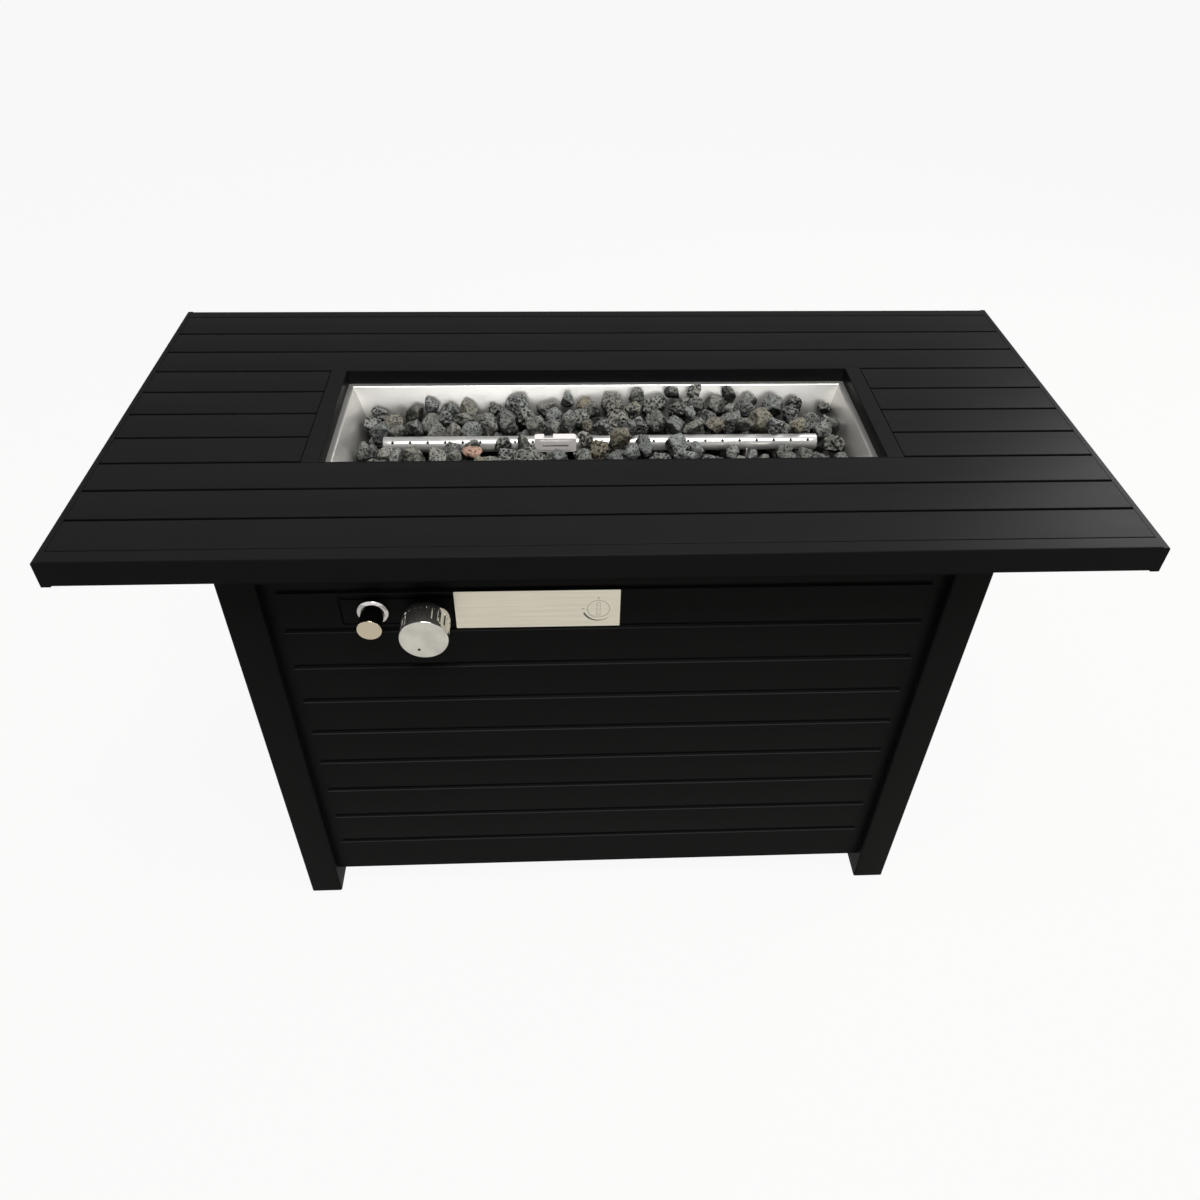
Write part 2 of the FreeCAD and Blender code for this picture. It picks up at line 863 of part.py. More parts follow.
def sidePanel(label, side):
    body = groovedPanel(label, clearY * 2, panelHeight)
    places = [(0, d.panelFlange / 2)]
    panelHoles(body, "XY_Plane", 0, d.panelSheet, places, d.screwRadius + d.screwFit, True)
    place(body, sideFace * side, 0, d.panelBottom, 90 * side)


frontPanel()
sidePanel("side_panel_left", -1)
sidePanel("side_panel_right", 1)


# Bottom tray: notched round the posts, with raised edges and a rimmed hole that seats the
# foot ring of a gas cylinder.
def bottomTray():
    body = newBody("bottom_tray")
    gap = d.trayClearance
    front = -(panelFace - d.panelSheet - gap)
    back = panelFace - d.trayBackGap - gap
    narrow = clearX - d.panelSheet - gap
    wide = sideFace - d.panelSheet - gap
    notch = clearY - d.panelSheet - gap
    floor = newSketch(body, "XY_Plane", trayBottom)
    addOutline(floor, [
        (-narrow, front), (narrow, front), (narrow, -notch), (wide, -notch), (wide, notch),
        (narrow, notch), (narrow, back), (-narrow, back), (-narrow, notch), (-wide, notch),
        (-wide, -notch), (-narrow, -notch),
    ])
    pad(body, floor, d.traySheet)
    edges = newSketch(body, "XY_Plane", trayBottom)
    thin = d.traySheet
    addRectangle(edges, -narrow, front, narrow, front + thin)
    addRectangle(edges, -narrow, back - thin, narrow, back)
    addRectangle(edges, -wide, -notch, thin - wide, notch)
    addRectangle(edges, wide - thin, -notch, wide, notch)
    pad(body, edges, d.trayEdge)
    rim = newSketch(body, "XY_Plane", trayBottom)
    seat = d.cylinderSeat / 2
    addCircle(rim, d.cylinderPlace, 0, seat + thin)
    pad(body, rim, d.cylinderRim, reverse=True)
    hole = newSketch(body, "XY_Plane", trayTop)
    addCircle(hole, d.cylinderPlace, 0, seat)
    pocket(body, hole, d.traySheet + d.cylinderRim)
    places = [(0, -screwY), (-sideScrewX, 0), (sideScrewX, 0)]
    panelHoles(body, "XY_Plane", trayTop, d.traySheet, places, d.screwRadius + d.screwFit)


bottomTray()


# Pan-head screw with its head's seat at the given point and its shank along +Z.
def screwShape(seat, radius, head, headHeight, dome, length):
    low = seat - Vector(0, 0, headHeight)
    top = Part.makeCylinder(head, headHeight, low)
    rims = [edge for edge in top.Edges if near(edge.BoundBox.ZMax, low.z)]
    top = top.makeFillet(dome, rims)
    shank = Part.makeCylinder(radius, length, seat)
    return top.fuse(shank).removeSplitter()


def assemblyScrews():
    panLedge = ledgeTop - d.panSheet
    places = [(x, y, panLedge) for x, y in panScrews()]
    places += [(0, -screwY, d.panelBottom)]
    places += [(sideScrewX * side, 0, d.panelBottom) for side in (-1, 1)]
    solids = []
    for x, y, z in places:
        seat = spot(x, y, z)
        solids.append(screwShape(
            seat, d.screwRadius.value, d.screwHead.value, d.screwHeadHeight.value,
            d.screwDome.value, d.screwLength.value))
    for x, y in boltPlaces():
        seat = spot(x, y, railBottom)
        solids.append(screwShape(
            seat, d.boltRadius.value, d.boltHead.value, d.boltHeadHeight.value,
            d.boltDome.value, (d.postSize + d.boltRise).value))
    shapePart("screws_and_bolts", Part.makeCompound(solids))


assemblyScrews()


# Back door

hingeX = clearX - d.hingeRadius - d.hingeGap
hingeY = panelFace + d.hingeRadius + d.hingeGap / 2
hingeLow = d.grooveFirst + d.groovePitch * d.hingeRow + d.grooveHeight / 2
hingeHeights = [hingeLow, hingeLow + d.groovePitch * d.hingeSpan]
pullHeight = d.grooveFirst + d.groovePitch * d.pullRow + d.grooveHeight / 2


def backDoor():
    body = groovedPanel("back_door", (clearX - d.doorGap) * 2, panelHeight - d.doorGap)
    places = [(clearX - d.pullInset, pullHeight - d.panelBottom)]
    panelHoles(body, "XZ_Plane", 0, d.panelSheet, places, d.screwRadius + d.screwFit)
    place(body, 0, panelFace, d.panelBottom, 180)


# Door pull: a turned knob whose screw passes through the door.
def doorPull():
    body = newBody("door_pull")
    neck = d.pullNeck
    revolve(body, [
        (0, -d.screwLength), (d.screwRadius, -d.screwLength), (d.screwRadius, 0), (neck, 0),
        (neck, d.pullNeckLength), (d.pullRadius, d.pullNeckLength + d.pullFlare),
        (d.pullRadius, d.pullLength), (0, d.pullLength),
    ])
    rim = d.pullLength.value
    roundEdges(body, d.edgeRadius, lambda edge, middle, way: near(edge.BoundBox.YMin, rim))
    place(body, d.pullInset - clearX, panelFace, pullHeight)


# Hinges: the frame leaf on the post carries the pin, and the door leaf turns on it.
def hingeLeaves():
    radius = d.hingeRadius.value
    leaf = d.hingeLeaf.value
    half = d.hingeHalf.value
    reach = d.hingeReach.value
    pin = d.hingePin.value
    pinRise = d.hingePinRise.value
    gap = d.hingeGap.value
    axisX, axisY, wallX = hingeX.value, hingeY.value, clearX.value
    face = panelFace.value
    frameLeaves = []
    doorLeaves = []
    for height in hingeHeights:
        z = height.value
        plate = Part.makeBox(leaf, reach, half, Vector(wallX - leaf, axisY - reach, z - half))
        knuckle = Part.makeCylinder(radius, half, Vector(axisX, axisY, z - half))
        rise = Part.makeCylinder(pin, half + pinRise, Vector(axisX, axisY, z - half))
        frameLeaves.append(knuckle.fuse([plate, rise]).removeSplitter())
        low = z + gap
        plate = Part.makeBox(reach, leaf, half - gap, Vector(axisX - reach, face, low))
        knuckle = Part.makeCylinder(radius, half - gap, Vector(axisX, axisY, low))
        bore = Part.makeCylinder(
            pin + d.hingeClearance.value, half * 2, Vector(axisX, axisY, low - gap))
        doorLeaves.append(knuckle.fuse(plate).cut(bore).removeSplitter())
    shapePart("hinge_frame_leaves", Part.makeCompound(frameLeaves))
    shapePart("hinge_door_leaves", Part.makeCompound(doorLeaves))


def doorMagnet():
    inner = panelFace - d.panelFlange - d.magnetGap
    start = inner - d.magnetDepth
    case = box(-clearX + d.pullInset, start, railBottom - d.magnetHeight,
               d.magnetLength, d.magnetDepth, d.magnetHeight)
    groove = d.magnetSlot
    slot = box(-clearX + d.pullInset + groove, inner - groove / 2,
               railBottom - (d.magnetHeight + groove) / 2,
               d.magnetLength - groove * 2, groove, groove)
    keep(cutFrom(case, [slot], "door_magnet"))


backDoor()
doorPull()
hingeLeaves()
doorMagnet()


# Control recess

# Control plate behind the cut-out, pressed forward almost flush with the panel's face.
def controlPlate():
    body = newBody("control_plate")
    reach = d.cutoutLength / 2 + d.plateOverlap
    flat = d.cutoutHeight / 2 - d.plateFit
    rear = newSketch(body, "XZ_Plane")
    addRectangle(rear, -reach, -flat, reach, flat)
    pad(body, rear, d.plateSheet, reverse=True)
    front = newSketch(body, "XZ_Plane")
    side = d.cutoutLength / 2 - d.plateGapSide
    addRectangle(front, -side, d.plateGapBottom - flat, side, flat - d.plateGapTop)
    pad(body, front, d.plateBoss)
    holes = newSketch(body, "XZ_Plane", d.plateBoss)
    addCircle(holes, d.igniterAxis - cutoutMiddle, 0, d.bezelThread + d.plateHoleFit)
    addCircle(holes, d.knobAxis - cutoutMiddle, 0, d.bonnetRadius + d.plateHoleFit)
    pocket(body, holes, d.plateSheet + d.plateBoss)
    place(body, cutoutMiddle, plateFront, d.controlHeight)


def labelPlate():
    body = newBody("label_plate")
    outline = newSketch(body, "XZ_Plane")
    addRectangle(outline, 0, -d.labelHeight / 2, d.labelLength, d.labelHeight / 2)
    pad(body, outline, d.labelSheet)
    roundEdges(body, d.labelRadius, lambda edge, middle, way: near(abs(way.y), 1))
    place(body, d.cutoutRight, -panelFace, d.controlHeight - d.plateGapBottom / 2)


controlPlate()
labelPlate()


# Gas valve: a cast block with the stem's bonnet, the threaded inlet and two side ports.
valveRear = plateBack + d.valveDepth
outletY = plateBack + d.outletPlace


def gasValve():
    x = d.knobAxis
    z = d.controlHeight
    block = box(x - d.valveWidth / 2, plateBack, z - d.valveHeight / 2,
                d.valveWidth, d.valveDepth, d.valveHeight)
    bonnet = rod(x, plateBack, z, d.bonnetRadius, d.bonnetLength, "-Y")
    nut = rod(x, valveRear, z, d.inletNut, d.inletNutLength, "+Y")
    inlet = rod(x, valveRear, z, d.inletRadius, d.inletNutLength + d.inletLength, "+Y")
    outlet = rod(x + d.valveWidth / 2, outletY, z, d.portRadius, d.portLength, "+X")
    probePort = rod(x, outletY, z - d.valveHeight / 2, d.probePortRadius, d.portLength, "-Z")
    front = plateBack - d.bonnetLength
    collarRoom = d.pushCollarLength + d.pushTravel * 2
    collarBore = rod(x, front, z, d.pushCollarRadius, collarRoom, "+Y")
    stemBore = rod(x, front, z, d.stemRadius + d.plateHoleFit, d.stemBoreLength, "+Y")
    gasBore = rod(x, valveRear - d.boreOverrun, z, d.inletBore,
                  d.inletNutLength + d.inletLength + d.boreOverrun * 2, "+Y")
    pipeBore = rod(x + d.valveWidth / 2 + d.portLength / 2, outletY, z,
                   d.pipeRadius - d.pipeWall, d.portLength, "+X")
    solid = fused([block, bonnet, nut, inlet, outlet, probePort])
    keep(cutFrom(solid, [collarBore, stemBore, gasBore, pipeBore], "gas_valve"))


# The collar slides in the bonnet when the knob is pushed, and the stem turns inside it.
def valvePushCollar():
    body = newBody("valve_push_collar")
    outer = d.pushCollarRadius - d.stemClearance
    inner = d.stemRadius + d.stemClearance
    ring = newSketch(body, "XZ_Plane")
    addCircle(ring, 0, 0, outer)
    addCircle(ring, 0, 0, inner)
    pad(body, ring, d.pushCollarLength, reverse=True)
    place(body, d.knobAxis, plateBack - d.bonnetLength + d.stemFit, d.controlHeight)


knobFront = -panelFace - d.knobFace
stemFront = knobFront + d.knobLength - d.knobSocket + d.stemGap


def valveStem():
    body = newBody("valve_stem")
    section = newSketch(body, "XZ_Plane")
    addCircle(section, 0, 0, d.stemRadius - d.stemFit)
    pad(body, section, d.stemLength, reverse=True)
    place(body, d.knobAxis, stemFront, d.controlHeight)


# Control knob: a turned shell with a hub, round front rim, fluted grip and a pointer dimple.
def controlKnob():
    body = newBody("control_knob")
    rim = d.knobRadius
    socket = d.knobLength - d.knobSocket
    revolve(body, [
        (0, 0), (rim, 0), (rim, d.knobLength), (rim - d.knobWall, d.knobLength),
        (rim - d.knobWall, d.knobCrown), (d.knobHub, d.knobCrown),
        (d.knobHub, d.knobLength), (d.stemRadius, d.knobLength), (d.stemRadius, socket), (0, socket),
    ])
    roundEdges(body, d.knobRound, lambda edge, middle, way: (
        near(edge.BoundBox.YMax, 0) and edge.BoundBox.XLength > rim.value))
    flute = newSketch(body, "XZ_Plane", -d.fluteStart)
    addCircle(flute, 0, rim + d.fluteRadius - d.fluteDepth, d.fluteRadius)
    groove = pocket(body, flute, d.fluteLength)
    ring = body.newObject("PartDesign::PolarPattern", "flutes")
    ring.Originals = [groove]
    ring.Axis = (flute, ["N_Axis"])
    ring.Mode = "Extent"
    ring.Angle = 360
    bind(ring, "Occurrences", d.fluteCount)
    body.Tip = ring
    mark = newSketch(body, "XZ_Plane")
    lean = math.radians(sizes["markAngle"])
    addCircle(mark, d.markPlace * -math.sin(lean), d.markPlace * -math.cos(lean), d.markRadius)
    pocket(body, mark, d.markDepth)
    place(body, d.knobAxis, knobFront, d.controlHeight)


gasValve()
valvePushCollar()
valveStem()
controlKnob()


# Push igniter: a bezel bushing through the plate, a body behind it with the battery, and a
# barrel with a bright cap that slides in the bezel against a spring.
capFront = -panelFace - d.igniterFace
barrelFront = capFront + d.capLength
barrelRear = barrelFront + d.barrelLength
bezelFront = plateFront - d.plateBoss - d.bezelLength
bezelDepth = barrelRear + d.buttonTravel + d.bezelSpare - bezelFront - d.bezelLength
igniterRear = plateBack + d.igniterLength
batteryRear = igniterRear - d.igniterRear
batteryFront = batteryRear - d.batteryLength - d.batteryNubLength


def atIgniter(body, y):
    place(body, d.igniterAxis, y, d.controlHeight)


def igniterBezel():
    body = newBody("igniter_bezel")
    bore = d.barrelRadius + d.bezelClearance
    seat = d.bezelLength
    revolve(body, [
        (bore, 0), (d.bezelRadius, 0), (d.bezelRadius, seat), (d.bezelThread, seat),
        (d.bezelThread, seat + bezelDepth), (bore, seat + bezelDepth),
    ])
    roundEdges(body, d.bezelRound, lambda edge, middle, way: (
        near(edge.BoundBox.YMax, 0) and edge.BoundBox.XLength > (bore + d.bezelRadius).value))
    atIgniter(body, bezelFront)


def igniterBody():
    body = newBody("igniter_body")
    outer = d.igniterRadius
    threadDepth = bezelFront + d.bezelLength + bezelDepth - plateBack
    bore = d.bezelThread + d.bezelClearance
    cell = d.batteryRadius + d.batteryFit
    base = d.igniterLength - d.igniterRear + d.stemFit
    revolve(body, [
        (bore, 0), (outer, 0), (outer, d.igniterLength), (0, d.igniterLength), (0, base),
        (cell, base), (cell, threadDepth + d.passFit), (bore, threadDepth + d.passFit),
    ])
    atIgniter(body, plateBack)


def igniterButton():
    body = newBody("igniter_button")
    bore = d.barrelRadius - d.barrelWall
    inside = d.barrelLength - d.barrelBore
    revolve(body, [
        (0, 0), (d.barrelRadius, 0), (d.barrelRadius, d.barrelLength),
        (bore, d.barrelLength), (bore, inside), (0, inside),
    ])
    atIgniter(body, barrelFront)


def igniterCap():
    body = newBody("igniter_cap")
    revolve(body, [(0, 0), (d.capRadius, 0), (d.capRadius, d.capLength), (0, d.capLength)])
    roundEdges(body, d.capRound, lambda edge, middle, way: near(edge.BoundBox.YMax, 0))
    atIgniter(body, capFront)


def igniterBattery():
    body = newBody("igniter_battery")
    nub = d.batteryNubLength
    revolve(body, [
        (0, 0), (d.batteryNub, 0), (d.batteryNub, nub), (d.batteryRadius, nub),
        (d.batteryRadius, nub + d.batteryLength), (0, nub + d.batteryLength),
    ])
    atIgniter(body, batteryFront)


# Coil spring between the battery's contact and the end of the barrel's bore.
def igniterSpring():
    front = barrelRear - d.barrelBore
    wire = d.springWire.value
    gap = d.stemFit.value
    length = (batteryFront - front).value - wire * 2 - gap * 2
    coil = Part.makeHelix(length / d.springTurns.value, length, d.springRadius.value)
    section = Part.Wire([Part.makeCircle(wire, Vector(d.springRadius.value, 0, 0), Vector(0, 1, 0))])
    solid = Part.Wire(coil).makePipeShell([section], True, True)
    solid.Placement = Placement(
        Vector(d.igniterAxis.value, front.value + wire + gap, d.controlHeight.value), turns["+Y"])
    shapePart("igniter_spring", solid)


igniterBezel()
igniterBody()
igniterButton()
igniterCap()
igniterBattery()
igniterSpring()


# Burner

panFloor = ledgeTop - d.panDepth
tubeZ = panFloor + d.tubeHeight
panTopX = openingHalf - d.panInset
panTopY = openingSide - d.panInset
panLean = d.panDepth * d.panSlope
panHalfX = panTopX - panLean
panHalfY = panTopY - panLean
mixerBottom = tubeZ - d.stubDrop + d.mixerLap - d.mixerLength
elbowZ = mixerBottom - d.orificeSize / 2


# Burner pan: folded stainless tray with sloping walls, a rounded bend at the top and a flange
# under the collar's ledge.
def burnerPan():
    body = newBody("burner_pan")
    wall = d.panSheet
    flange = newSketch(body, "XY_Plane", ledgeTop - wall)
    addCentred(flange, (openingHalf + d.panFlange) * 2, (openingSide + d.panFlange) * 2)
    pad(body, flange, wall)
    for kind, extra, top in (
            ("AdditiveWedge", wall, ledgeTop - wall), ("SubtractiveWedge", asSize(0), ledgeTop)):
        bowl = body.newObject("PartDesign::" + kind, "bowl")
        bowl.AttachmentSupport = [(originPlane(body, "XY_Plane"), "")]
        bowl.MapMode = "FlatFace"
        bowl.AttachmentOffset = Placement(Vector(0, 0, 0), Rotation(Vector(1, 0, 0), -90))
        bind(bowl, "AttachmentOffset.Base.z", top)
        bind(bowl, "Ymin", 0)
        bind(bowl, "Ymax", d.panDepth)
        for level, rimX, rimY in (("", panTopX, panTopY), ("2", panHalfX, panHalfY)):
            bind(bowl, "X%smin" % level, -rimX - extra)
            bind(bowl, "X%smax" % level, rimX + extra)
            bind(bowl, "Z%smin" % level, -rimY - extra)
            bind(bowl, "Z%smax" % level, rimY + extra)
        body.Tip = bowl
    for radius, height, extra in (
            (d.panBend - wall, ledgeTop - wall, wall), (d.panBend, ledgeTop, asSize(0))):
        limits = height.value, (panTopX + extra).value, (panTopY + extra).value
        roundEdges(body, radius, lambda edge, middle, way: (
            near(middle.z, limits[0]) and (
                near(abs(middle.x), limits[1]) and near(middle.y, 0)
                or near(abs(middle.y), limits[2]) and near(middle.x, 0))))
    holes = newSketch(body, "XY_Plane", panFloor)
    addCircle(holes, 0, 0, d.stubRadius + d.passFit)
    addCircle(holes, d.electrodePlace, -d.probeOffset, d.electrodeRadius + d.passFit)
    addCircle(holes, d.probePlace, -d.probeOffset, d.probeRadius + d.passFit)
    pocket(body, holes, wall)
    panelHoles(body, "XY_Plane", ledgeTop, wall, panScrews(), d.screwRadius + d.screwFit)


# Burner tube: closed at both ends, with welded feet, a feed stub and two rows of ports.
def burnerTube():
    body = newBody("burner_tube")
    half = d.tubeLength / 2
    section = newSketch(body, "YZ_Plane")
    addCircle(section, 0, 0, d.tubeRadius)
    pad(body, section, d.tubeLength, symmetric=True)
    roundEdges(body, d.tubeRound, lambda edge, middle, way: near(abs(middle.x), half.value))
    stub = newSketch(body, "XY_Plane")
    addCircle(stub, 0, 0, d.stubRadius)
    pad(body, stub, d.stubDrop, reverse=True)
    rise = d.tubeHeight
    for side in (-1, 1):
        leg = newSketch(body, "YZ_Plane", d.bracketPlace * side - d.bracketSheet / 2)
        addRectangle(leg, -d.bracketWidth / 2, -rise, d.bracketWidth / 2, -d.tubeRadius / 2)
        pad(body, leg, d.bracketSheet)
        foot = newSketch(body, "XY_Plane", -rise)
        edge = d.bracketPlace * side - d.bracketSheet / 2
        addRectangle(foot, edge, -d.bracketWidth / 2, edge + d.bracketFoot, d.bracketWidth / 2)
        pad(body, foot, d.bracketSheet)
    bore = newSketch(body, "YZ_Plane")
    addCircle(bore, 0, 0, d.tubeRadius - d.tubeWall)
    pocket(body, bore, d.tubeLength - d.tubeWall * 2, symmetric=True)
    feed = newSketch(body, "XY_Plane")
    addCircle(feed, 0, 0, d.stubRadius - d.tubeWall)
    pocket(body, feed, d.stubDrop + d.boreOverrun)
    for tilt in (-sizes["portRise"], 180 + sizes["portRise"]):
        port = newSketch(body, "XZ_Plane", tilt=tilt)
        start = -d.portPitch * (d.portCount - 1) / 2
        addCircle(port, start, 0, d.portHole)
        hole = pocket(body, port, d.tubeRadius + d.boreOverrun, reverse=True)
        row = body.newObject("PartDesign::LinearPattern", "ports")
        row.Originals = [hole]
        row.Direction = (port, ["H_Axis"])
        row.Mode = "Extent"
        bind(row, "Length", d.portPitch * (d.portCount - 1))
        bind(row, "Occurrences", d.portCount)
        body.Tip = row
    place(body, 0, 0, tubeZ)


# Pilot hood: folded sheet over the pilot's tips, with a slotted front, a notched top and two
# cheeks that stand against the tube.
def pilotHood():
    body = newBody("pilot_hood")
    wall = d.hoodSheet
    top = d.hoodRise
    bottom = top - d.hoodDrop
    front = -d.hoodReach
    rear = -d.hoodRear
    half = d.hoodLength / 2
    fold = newSketch(body, "YZ_Plane")
    addOutline(fold, [
        (front, bottom), (front, top), (rear, top), (rear, top - wall),
        (front + wall, top - wall), (front + wall, bottom),
    ])
    pad(body, fold, d.hoodLength, symmetric=True)
    emboss = newSketch(body, "XZ_Plane", d.hoodReach)
    middle = top - d.hoodDrop / 2
    addRectangle(emboss, -d.hoodEmbossLength / 2, middle - d.hoodEmbossHeight / 2,
                 d.hoodEmbossLength / 2, middle + d.hoodEmbossHeight / 2)
    pad(body, emboss, d.hoodEmboss)
    for start in (-half, half - wall):
        cheek = newSketch(body, "YZ_Plane", start)
        addRectangle(cheek, front, bottom, -(d.tubeRadius + d.hoodGap), top)
        pad(body, cheek, wall)
    slot = newSketch(body, "XZ_Plane", d.hoodReach + d.hoodEmboss)
    addRectangle(slot, -d.hoodSlot / 2, middle - d.hoodSlotHeight / 2,
                 d.hoodSlot / 2, middle + d.hoodSlotHeight / 2)
    pocket(body, slot, wall + d.hoodEmboss)
    notch = newSketch(body, "XY_Plane", top)
    side = d.hoodNotchPlace
    addRectangle(notch, side - d.hoodNotch / 2, rear - d.hoodNotchDepth,
                 side + d.hoodNotch / 2, rear + wall)
    pocket(body, notch, wall)
    limit = half.value, rear.value
    roundEdges(body, d.hoodCorner, lambda edge, middle, way: (
        near(abs(way.z), 1) and near(abs(middle.x), limit[0]) and near(middle.y, limit[1])))
    place(body, d.hoodPlace, 0, tubeZ)


# Spark electrode: a ceramic rod with a seat on the pan's floor, a wire tip and a terminal.
def sparkElectrode():
    body = newBody("spark_electrode")
    outer = d.electrodeRadius
    wire = d.electrodeRod
    ring = outer + d.collarRing
    revolve(body, [
        (0, -d.electrodeTail), (wire, -d.electrodeTail), (wire, -d.electrodeTail / 2),
        (outer, -d.electrodeTail / 2), (outer, 0), (ring, 0), (ring, d.collarRingHeight),
        (outer, d.collarRingHeight), (outer, d.electrodeRise), (wire, d.electrodeRise),
        (wire, d.electrodeRise + d.electrodeTip), (0, d.electrodeRise + d.electrodeTip),
    ], "XZ_Plane")
    place(body, d.electrodePlace, -d.probeOffset, panFloor)


# Path of straight runs joined by tangent arcs. Each arc takes as much of its runs as it can.
def roundedPath(points):
    share = 0.45
    edges = []
    start = points[0]
    for index in range(1, len(points) - 1):
        before = points[index - 1] - points[index]
        after = points[index + 1] - points[index]
        shorter = min(before.Length, after.Length)
        cornerAngle = before.getAngle(after)
        setback = share * shorter
        radius = setback * math.tan(cornerAngle / 2)
        print("arc radius %.1f" % radius)
        entry = points[index] + before.normalize() * setback
        leave = points[index] + after.normalize() * setback
        inward = (before + after).normalize()
        middle = points[index] + inward * (radius / math.sin(cornerAngle / 2) - radius)
        edges.append(Part.LineSegment(start, entry).toShape())
        edges.append(Part.Arc(entry, middle, leave).toShape())
        start = leave
    edges.append(Part.LineSegment(start, points[-1]).toShape())
    return Part.Wire(edges)


def swept(points, radius):
    path = roundedPath(points)
    ring = Part.Wire([Part.makeCircle(radius, points[0], points[1] - points[0])])
    tube = path.makePipeShell([ring], True, False)
    whole = math.pi * radius ** 2 * path.Length
    print("tube length %.1f, volume %.4f of section times length" % (path.Length, tube.Volume / whole))
    return tube


# Thermocouple: a probe beside the tube, whose copper line runs down to the valve's port.
def thermocouple():
    base = spot(d.probePlace, -d.probeOffset, panFloor)
    radius = d.probeRadius.value
    tail = d.probeTail.value
    low = base - Vector(0, 0, tail)
    probe = Part.makeCylinder(radius, tail + d.probeRise.value, low)
    tips = [edge for edge in probe.Edges if near(edge.BoundBox.ZMin, base.z + d.probeRise.value)]
    probe = probe.makeFillet(d.probeRound.value, tips)
    ring = Part.makeCylinder(radius + d.collarRing.value, d.collarRingHeight.value, base)
    portEnd = spot(d.knobAxis, outletY, d.controlHeight - d.valveHeight / 2 - d.portLength)
    drop = d.portLength.value * 4
    points = [
        portEnd,
        portEnd + Vector(0, 0, -drop),
        portEnd + Vector(drop, drop * 1.3, -drop * 1.5),
        portEnd + Vector(drop * 3, drop * 3.3, -drop * 1.3),
        low + Vector(-drop * 1.4, -drop * 1.2, -drop * 2),
        low + Vector(0, 0, -drop),
        low,
    ]
    line = swept(points, d.lineRadius.value)
    shapePart("thermocouple", probe.fuse([ring, line]).removeSplitter())


# Air mixer: a sleeve on the tube's stub with air windows and the orifice elbow under it.
def airMixer():
    bottom = mixerBottom
    size = d.orificeSize
    sleeve = rod(0, 0, bottom, d.mixerRadius, d.mixerLength)
    block = box(-size / 2, -size / 2, bottom - size, size, size, size)
    inlet = rod(0, -size / 2, elbowZ, d.portRadius, d.portLength, "-Y")
    cavity = rod(0, 0, bottom + d.mixerFloor, d.stubRadius + d.mixerFit, d.mixerLength)
    windowReach = d.mixerRadius + d.boreOverrun
    window = box(-windowReach, -d.mixerWindow / 2, bottom + d.mixerWindowRise,
                 windowReach * 2, d.mixerWindow, d.mixerWindowHeight)
    jet = rod(0, 0, elbowZ, d.portHole, size)
    feed = rod(0, 0, elbowZ, d.pipeRadius - d.pipeWall, size, "-Y")
    keep(cutFrom(fused([sleeve, block, inlet]), [cavity, window, jet, feed], "air_mixer"))


# Gas pipe from the valve's outlet to the orifice elbow, each end face to face with its port.
def gasPipe():
    start = spot(d.knobAxis + d.valveWidth / 2 + d.portLength, outletY, d.controlHeight)
    end = spot(0, -d.orificeSize / 2 - d.portLength, elbowZ)
    run = abs(end.y - start.y)
    points = [
        start,
        Vector(end.x - run * 0.75, start.y, start.z),
        Vector(end.x - run * 0.05, start.y + run * 0.25, (start.z + end.z) / 2),
        Vector(end.x, end.y - run * 0.3, end.z),
        end,
    ]
    outer = swept(points, d.pipeRadius.value)
    inner = swept(points, (d.pipeRadius - d.pipeWall).value)
    shapePart("gas_pipe", outer.cut(inner))


# Ignition lead from the igniter's rear face to the electrode's terminal.
def ignitionLead():
    start = spot(d.igniterAxis, igniterRear, d.controlHeight)
    end = spot(d.electrodePlace, -d.probeOffset, panFloor - d.electrodeTail)
    span = end - start
    step = sizes["leadStep"]
    points = [
        start,
        start + Vector(0, step, 0),
        start + Vector(span.x * 0.08, span.y * 0.5, -step * 0.7),
        start + Vector(span.x * 0.24, span.y * 0.76, -step * 1.2),
        start + Vector(span.x * 0.45, span.y * 0.92, -step * 1.5),
        start + Vector(span.x * 0.68, span.y * 0.98, -step * 1.3),
        end + Vector(-step * 1.2, 0, -step * 1.8),
        end + Vector(0, 0, -step * 1.2),
        end,
    ]
    shapePart("ignition_lead", swept(points, d.leadRadius.value))


burnerPan()
burnerTube()
pilotHood()
sparkElectrode()
thermocouple()
airMixer()
gasPipe()
ignitionLead()


